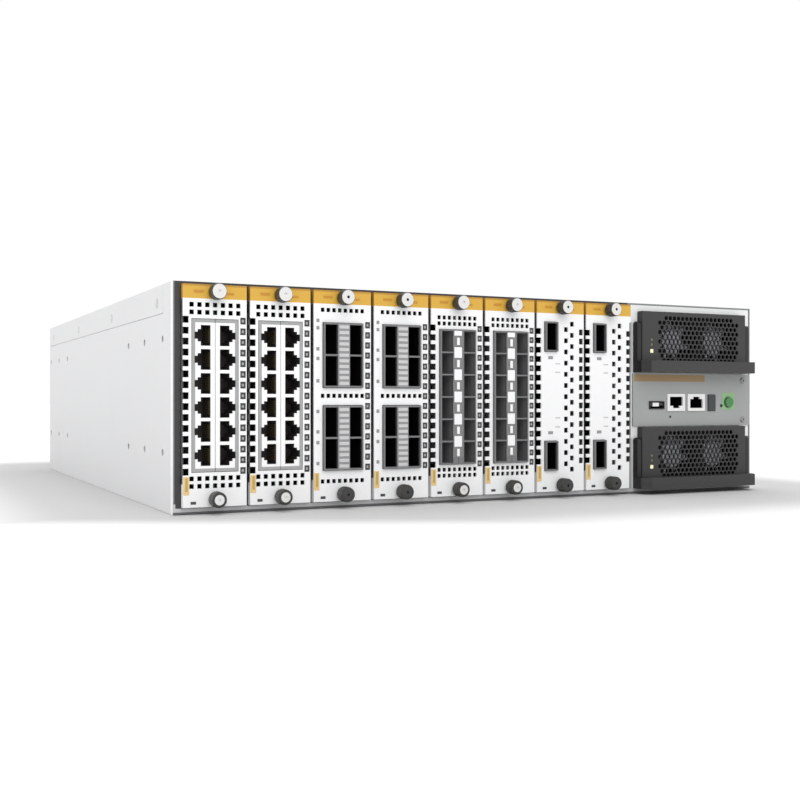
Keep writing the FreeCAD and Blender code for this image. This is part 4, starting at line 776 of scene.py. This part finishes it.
class SWITCH_OT_supplies(SwitchOperator):
    """Mould the power supply fronts with their fine grille, lenses and handle"""
    bl_idname = "switch.supplies"
    bl_label = "Power supplies"

    def execute(self, context):
        look = colours()
        moulding = plain("Bezel moulding", look.bezel, 0.5, scale=1800, blotch=0.1)
        handle = Finish("Handle moulding", look.handle, 0.42, scale=1800, blotch=0.1)
        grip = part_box("lower_supply_handle")
        # Painted shade: the handle's two arms are near-black above its bar, where they stand in the
        # gaps beside the supply.
        arms = (grip[0].z + HANDLE_BAR * MM, grip[1].z + 200 * MM)
        for side in ((grip[0].x - PAST, grip[0].x + HANDLE_ARM * MM),
                     (grip[1].x - HANDLE_ARM * MM, grip[1].x + PAST)):
            handle.zone(look.hollow_shade, ("X", *side), ("Z", *arms))
        rotor = plain("Fan moulding", look.fan, 0.35, scale=1500, blotch=0.1)
        dim = plain("Unlit lens", (0.14, 0.15, 0.08), 0.3, scale=2000, coat=0.5)
        lit = Finish("Lit lens", look.lens, 0.25, scale=2000, coat=0.5)
        lit.shader.inputs["Emission Color"].default_value = (*look.lens, 1)
        lit.shader.inputs["Emission Strength"].default_value = 0.3
        sheet = Finish("Supply sheet", (0.60, 0.61, 0.61), 0.35, metal=0.75, scale=700,
                       blotch=0.2)
        front = CHASSIS[0].y
        # Painted shade: the supply case is near-black for its first 40 mm, behind the grille.
        sheet.zone(look.hollow_shade, ("Y", front - 2 * MM, front + 40 * MM))
        for name, (low, high) in SUPPLIES.items():
            clad([f"{name}_supply_case"], sheet.material)
            clad([f"{name}_supply_handle"], handle.material)
            clad([f"{name}_supply_fan_left", f"{name}_supply_fan_right"], rotor)
            made = self.bezel(name, low, high, moulding)
            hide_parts(f"{name}_supply_bezel")
            bm = bmesh.new()
            x = low.x + LENS_LEFT * MM
            for rise, half, mark in LENSES:
                z = low.z + rise * MM
                block(bm, (x - half * MM, low.y - 0.2 * MM, z - half * MM),
                      (x + half * MM, low.y + 0.3 * MM, z + half * MM), 0.2 * MM, mark)
            piece(f"{name}_supply_lenses", bm, f"{name}_supply", "bezel_plastic", lit.material,
                  dim)
        return {"FINISHED"}

    def bezel(self, name, low, high, material):
        """Front wall with a comb of six-sided holes, and four side walls behind it."""
        pitch, web = sizes().comb, sizes().web
        radius = pitch / math.sqrt(3)
        rise = 1.5 * radius
        left = low.x + COMB_LEFT * MM
        bottom = low.z + COMB_MIDDLE * MM - rise * (COMB_ROWS - 1) / 2
        bm = bmesh.new()
        turn = Matrix.Rotation(math.radians(90), 4, "X")
        for row in range(COMB_ROWS):
            ends = 1 if row in (0, COMB_ROWS - 1) else 0
            for column in range(ends, COMB_COLUMNS - row % 2 - ends):
                x = left + column * pitch + (row % 2) * pitch / 2
                place = Matrix.Translation((x, low.y, bottom + row * rise)) @ turn
                bmesh.ops.create_circle(bm, cap_ends=True, segments=6, radius=radius,
                                        matrix=place)
        bmesh.ops.remove_doubles(bm, verts=bm.verts, dist=radius * 0.05)
        edge = [item for item in bm.edges if item.is_boundary]
        corners = [bm.verts.new((x, low.y, z)) for x, z in
                   ((low.x, low.z), (high.x, low.z), (high.x, high.z), (low.x, high.z))]
        outline = [bm.edges.new(pair) for pair in zip(corners, corners[1:] + corners[:1])]
        cells = list(bm.faces)
        bmesh.ops.triangle_fill(bm, use_beauty=True, edges=edge + outline, normal=(0, -1, 0))
        bmesh.ops.inset_individual(bm, faces=cells, thickness=web / 2, use_even_offset=True)
        bmesh.ops.delete(bm, geom=cells, context="FACES")
        bmesh.ops.recalc_face_normals(bm, faces=bm.faces)
        sheet = list(bm.faces)
        made = bmesh.ops.extrude_face_region(bm, geom=sheet, use_keep_orig=True)
        moved = [item for item in made["geom"] if isinstance(item, bmesh.types.BMVert)]
        bmesh.ops.translate(bm, vec=(0, SHEET * MM, 0), verts=moved)
        wall = WALL * MM
        start, stop = low.y + SHEET * MM, high.y
        block(bm, (low.x, start, low.z), (low.x + wall, stop, high.z))
        block(bm, (high.x - wall, start, low.z), (high.x, stop, high.z))
        block(bm, (low.x + wall, start, low.z), (high.x - wall, stop, low.z + wall))
        block(bm, (low.x + wall, start, high.z - wall), (high.x - wall, stop, high.z))
        return piece(f"{name}_supply_front", bm, f"{name}_supply", "bezel_plastic", material)


# ------------------------------------------------------------------ management section

class SWITCH_OT_management(SwitchOperator):
    """Finish the management panel, its sockets, display and button"""
    bl_idname = "switch.management"
    bl_label = "Management panel"

    def execute(self, context):
        look = colours()
        low, high = PANEL
        clad(["management_panel"], plain("Panel coat", look.panel, 0.5, blotch=0.4))
        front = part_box("management_board")[0].y
        sockets = Finish("Socket moulding", look.socket, 0.35, scale=1500)
        sockets.zone(look.display, ("X", low.x + 68 * MM, low.x + 77 * MM))
        # Painted shade: near-black in the mouth of the bus socket.
        sockets.zone((0.02, 0.02, 0.02), ("X", low.x + 12 * MM, low.x + 29 * MM),
                     ("Y", front - PAST, front + 18 * MM))
        # Painted shade inside the other panel sockets.
        sockets.zone(look.hollow_shade, ("Y", front + 0.9 * MM, front + 18 * MM),
                     ("X", low.x + 30 * MM, low.x + 67 * MM), edge=0.5 * MM)
        clad(["management_board"], sockets.material)
        clad(["eco_button"], plain("Button moulding", look.button, 0.35, scale=2000, coat=0.3))
        stripe = plain("Stripe print", look.stripe, 0.5, blotch=0.4)
        patch = plain("Patch print", look.patch, 0.5, blotch=0.3)
        # Painted shade: near-black patches for the pinhole and the small hole beside the button.
        dark = plain("Panel opening shade", (0.012, 0.012, 0.012), 0.6)
        plate = plain("Panel screw", (0.30, 0.31, 0.30), 0.3, metal=0.6, scale=2500)
        bm = bmesh.new()
        sheet, proud = low.y, low.y - PRINT_PROUD
        left, right, lower, upper = STRIPE
        block(bm, (low.x + left * MM, proud, high.z - lower * MM),
              (low.x + right * MM, sheet, high.z - upper * MM), PRINT_BEVEL)
        self.patch(bm, low, sheet)
        left, right, bottom, top = PINHOLE
        block(bm, (low.x + left * MM, proud, low.z + bottom * MM),
              (low.x + right * MM, sheet, low.z + top * MM), PRINT_BEVEL, 2)
        left, right, bottom, top = TONGUE
        block(bm, (low.x + left * MM, front + 0.3 * MM, low.z + bottom * MM),
              (low.x + right * MM, front + 3.0 * MM, low.z + top * MM), 0.1 * MM, 4)
        x, z = SIDE_HOLE
        face = -1.5 * PRINT_PROUD
        turned(bm, [(0.0, face), (1.2 * MM, face), (1.2 * MM, 0.05 * MM)],
               (low.x + x * MM, sheet, low.z + z * MM), 16, 2)
        for z in (high.z - PANEL_SCREW_TOP * MM, low.z + PANEL_SCREW_FOOT * MM):
            turned(bm, [(0.0, -0.3 * MM), (0.7 * MM, -0.3 * MM), (0.8 * MM, -0.9 * MM),
                        (1.9 * MM, -0.7 * MM), (2.3 * MM, -0.1 * MM), (2.3 * MM, 0.1 * MM)],
                   (low.x + PANEL_SCREW_X * MM, sheet, z), 24, 3)
        piece("management_prints", bm, "chassis", "panel_paint", stripe, patch, dark, plate,
              plain("Tongue moulding", look.socket, 0.4))
        return {"FINISHED"}

    def patch(self, bm, low, sheet):
        """Square ground round the button, open where the button stands."""
        left, bottom, side, opening = (size * MM for size in PATCH)
        left, bottom = low.x + left, low.z + bottom
        proud = sheet - PRINT_PROUD
        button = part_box("eco_button")
        x, z = (button[0].x + button[1].x) / 2, (button[0].z + button[1].z) / 2
        turn = Matrix.Rotation(math.radians(90), 4, "X")
        made = bmesh.ops.create_circle(bm, segments=24, radius=opening,
                                       matrix=Matrix.Translation((x, proud, z)) @ turn)
        inner = list({edge for vert in made["verts"] for edge in vert.link_edges})
        corners = [bm.verts.new((u, proud, v)) for u, v in
                   ((left, bottom), (left + side, bottom), (left + side, bottom + side),
                    (left, bottom + side))]
        outer = [bm.edges.new(pair) for pair in zip(corners, corners[1:] + corners[:1])]
        filled = bmesh.ops.triangle_fill(bm, use_beauty=True, edges=inner + outer,
                                         normal=(0, -1, 0))
        faces = [item for item in filled["geom"] if isinstance(item, bmesh.types.BMFace)]
        grown = bmesh.ops.extrude_face_region(bm, geom=faces, use_keep_orig=True)
        moved = [item for item in grown["geom"] if isinstance(item, bmesh.types.BMVert)]
        bmesh.ops.translate(bm, vec=(0, PRINT_PROUD, 0), verts=moved)
        for vert in moved + made["verts"] + corners:
            for face in vert.link_faces:
                face.material_index = 1


# ------------------------------------------------------------------ rear side

class SWITCH_OT_rear(SwitchOperator):
    """Finish the fan tray and its rotors"""
    bl_idname = "switch.rear"
    bl_label = "Rear side"

    def execute(self, context):
        tray = plain("Tray coat", colours().chassis, 0.42, scale=1400)
        clad(["fan_tray"], tray)
        rotor = plain("Large fan moulding", (0.03, 0.031, 0.033), 0.4, scale=1500, blotch=0.1)
        clad(["tray_fan_left", "tray_fan_right"], rotor)
        return {"FINISHED"}


# ------------------------------------------------------------------ stage

class SWITCH_OT_stage(SwitchOperator):
    """Set the floor, the lamps, the world and the camera"""
    bl_idname = "switch.stage"
    bl_label = "Stage"

    def execute(self, context):
        scene = context.scene
        self.floor(scene)
        self.world(scene)
        for name, place, size, power in LAMPS:
            self.lamp(scene, name, place, size, power)
        lens = bpy.data.cameras.new("Camera")
        lens.lens = CAMERA_LENS
        lens.sensor_width = CAMERA_SENSOR
        lens.shift_x = CAMERA_SHIFT
        lens.clip_start = 0.01
        camera = bpy.data.objects.new("Camera", lens)
        camera.location = CAMERA_PLACE
        camera.rotation_euler = (math.radians(90), 0, math.radians(CAMERA_TURN))
        scene.collection.objects.link(camera)
        scene.camera = camera
        scene.view_settings.view_transform = "Standard"
        return {"FINISHED"}

    def floor(self, scene):
        """A floor painted grey as shade near the switch, where it also takes the switch's shadow,
        that turns plain white further out.
        """
        bm = bmesh.new()
        bmesh.ops.create_grid(bm, x_segments=1, y_segments=1, size=FLOOR_SIZE)
        mesh = bpy.data.meshes.new("floor")
        bm.to_mesh(mesh)
        bm.free()
        floor = bpy.data.objects.new("floor", mesh)
        floor.location.z = CAD_BOX[0].z - 0.2 * MM
        scene.collection.objects.link(floor)
        material = bpy.data.materials.new("Floor")
        material.use_nodes = True
        tree = material.node_tree
        shader = tree.nodes["Principled BSDF"]
        shader.inputs["Roughness"].default_value = 0.8
        shader.inputs["Emission Color"].default_value = (1, 1, 1, 1)
        link = tree.links.new
        place = node(tree, "ShaderNodeTexCoord").outputs["Object"]
        last = place
        for operation, value in (("ABSOLUTE", None),
                                 ("SUBTRACT", (CAD_BOX[1].x, CAD_BOX[1].y, 0)),
                                 ("MAXIMUM", (0, 0, 0)), ("LENGTH", None)):
            step = node(tree, "ShaderNodeVectorMath", operation=operation)
            link(last, step.inputs[0])
            if value:
                step.inputs[1].default_value = value
            last = step.outputs["Value" if operation == "LENGTH" else "Vector"]
        ahead = node(tree, "ShaderNodeVectorMath", operation="DOT_PRODUCT")
        ahead.inputs[1].default_value = FRONT_LINE
        link(place, ahead.inputs[0])
        masks = []
        for source, limits in ((last, FADE_AROUND), (ahead.outputs["Value"], FADE_IN_FRONT)):
            fade = node(tree, "ShaderNodeMapRange", interpolation_type="SMOOTHSTEP")
            fade.inputs["From Min"].default_value = limits[0]
            fade.inputs["From Max"].default_value = limits[1]
            link(source, fade.inputs["Value"])
            masks.append(fade.outputs["Result"])
        far = node(tree, "ShaderNodeMath", operation="MAXIMUM")
        link(masks[0], far.inputs[0])
        link(masks[1], far.inputs[1])
        link(far.outputs[0], shader.inputs["Emission Strength"])
        # Painted shade: the floor keeps its grey near the switch and fades to plain white further
        # out.
        mix = node(tree, "ShaderNodeMix", data_type="RGBA")
        mix.inputs["A"].default_value = (FLOOR_SHADE, FLOOR_SHADE, FLOOR_SHADE, 1)
        mix.inputs["B"].default_value = (0, 0, 0, 1)
        link(far.outputs[0], mix.inputs["Factor"])
        link(mix.outputs["Result"], shader.inputs["Base Color"])
        mesh.materials.append(material)

    def world(self, scene):
        """Soft light on the switch, and white where the world is seen or mirrored."""
        world = bpy.data.worlds.new("Studio")
        scene.world = world
        world.use_nodes = True
        tree = world.node_tree
        ground = tree.nodes["Background"]
        ground.inputs["Color"].default_value = (1, 1, 1, 1)
        ground.inputs["Strength"].default_value = WORLD_LEVEL
        white = node(tree, "ShaderNodeBackground")
        white.inputs["Color"].default_value = (1, 1, 1, 1)
        white.inputs["Strength"].default_value = 1.0
        path = node(tree, "ShaderNodeLightPath")
        first = node(tree, "ShaderNodeMath", operation="MAXIMUM")
        tree.links.new(path.outputs["Is Camera Ray"], first.inputs[0])
        tree.links.new(path.outputs["Is Glossy Ray"], first.inputs[1])
        both = node(tree, "ShaderNodeMath", operation="MAXIMUM")
        tree.links.new(first.outputs[0], both.inputs[0])
        tree.links.new(path.outputs["Is Transmission Ray"], both.inputs[1])
        mix = node(tree, "ShaderNodeMixShader")
        tree.links.new(both.outputs[0], mix.inputs["Fac"])
        tree.links.new(ground.outputs[0], mix.inputs[1])
        tree.links.new(white.outputs[0], mix.inputs[2])
        tree.links.new(mix.outputs[0], tree.nodes["World Output"].inputs["Surface"])

    def lamp(self, scene, name, place, size, power):
        """A square soft lamp turned towards the switch."""
        light = bpy.data.lights.new(name, "AREA")
        light.shape = "SQUARE"
        light.size = size
        light.energy = power
        lamp = bpy.data.objects.new(name, light)
        lamp.location = place
        aim = AIM - Vector(place)
        lamp.rotation_euler = aim.to_track_quat("-Z", "Y").to_euler()
        scene.collection.objects.link(lamp)


class SWITCH_PT_panel(bpy.types.Panel):
    bl_label = "Modular switch"
    bl_space_type = "VIEW_3D"
    bl_region_type = "UI"
    bl_category = "Switch"

    def draw(self, context):
        for owner in (context.scene.switch_colours, context.scene.switch_sizes):
            for name in owner.bl_rna.properties.keys():
                if name not in ("rna_type", "name"):
                    self.layout.prop(owner, name)
        for step in STEPS:
            self.layout.operator(step.bl_idname)


STEPS = (SWITCH_OT_chassis, SWITCH_OT_faceplates, SWITCH_OT_fingers, SWITCH_OT_ports,
         SWITCH_OT_contacts, SWITCH_OT_lamps, SWITCH_OT_ladders, SWITCH_OT_clips,
         SWITCH_OT_thumbscrews, SWITCH_OT_supplies, SWITCH_OT_management, SWITCH_OT_rear,
         SWITCH_OT_stage)
GROUPS = (SwitchColours, SwitchSizes)


def register():
    for made in (*GROUPS, *STEPS, SWITCH_PT_panel):
        bpy.utils.register_class(made)
    bpy.types.Scene.switch_colours = PointerProperty(type=SwitchColours)
    bpy.types.Scene.switch_sizes = PointerProperty(type=SwitchSizes)


def unregister():
    del bpy.types.Scene.switch_sizes
    del bpy.types.Scene.switch_colours
    for made in reversed((*GROUPS, *STEPS, SWITCH_PT_panel)):
        bpy.utils.unregister_class(made)


def main():
    register()
    for step in STEPS:
        group, name = step.bl_idname.split(".")
        getattr(getattr(bpy.ops, group), name)()


if __name__ == "__main__":
    main()
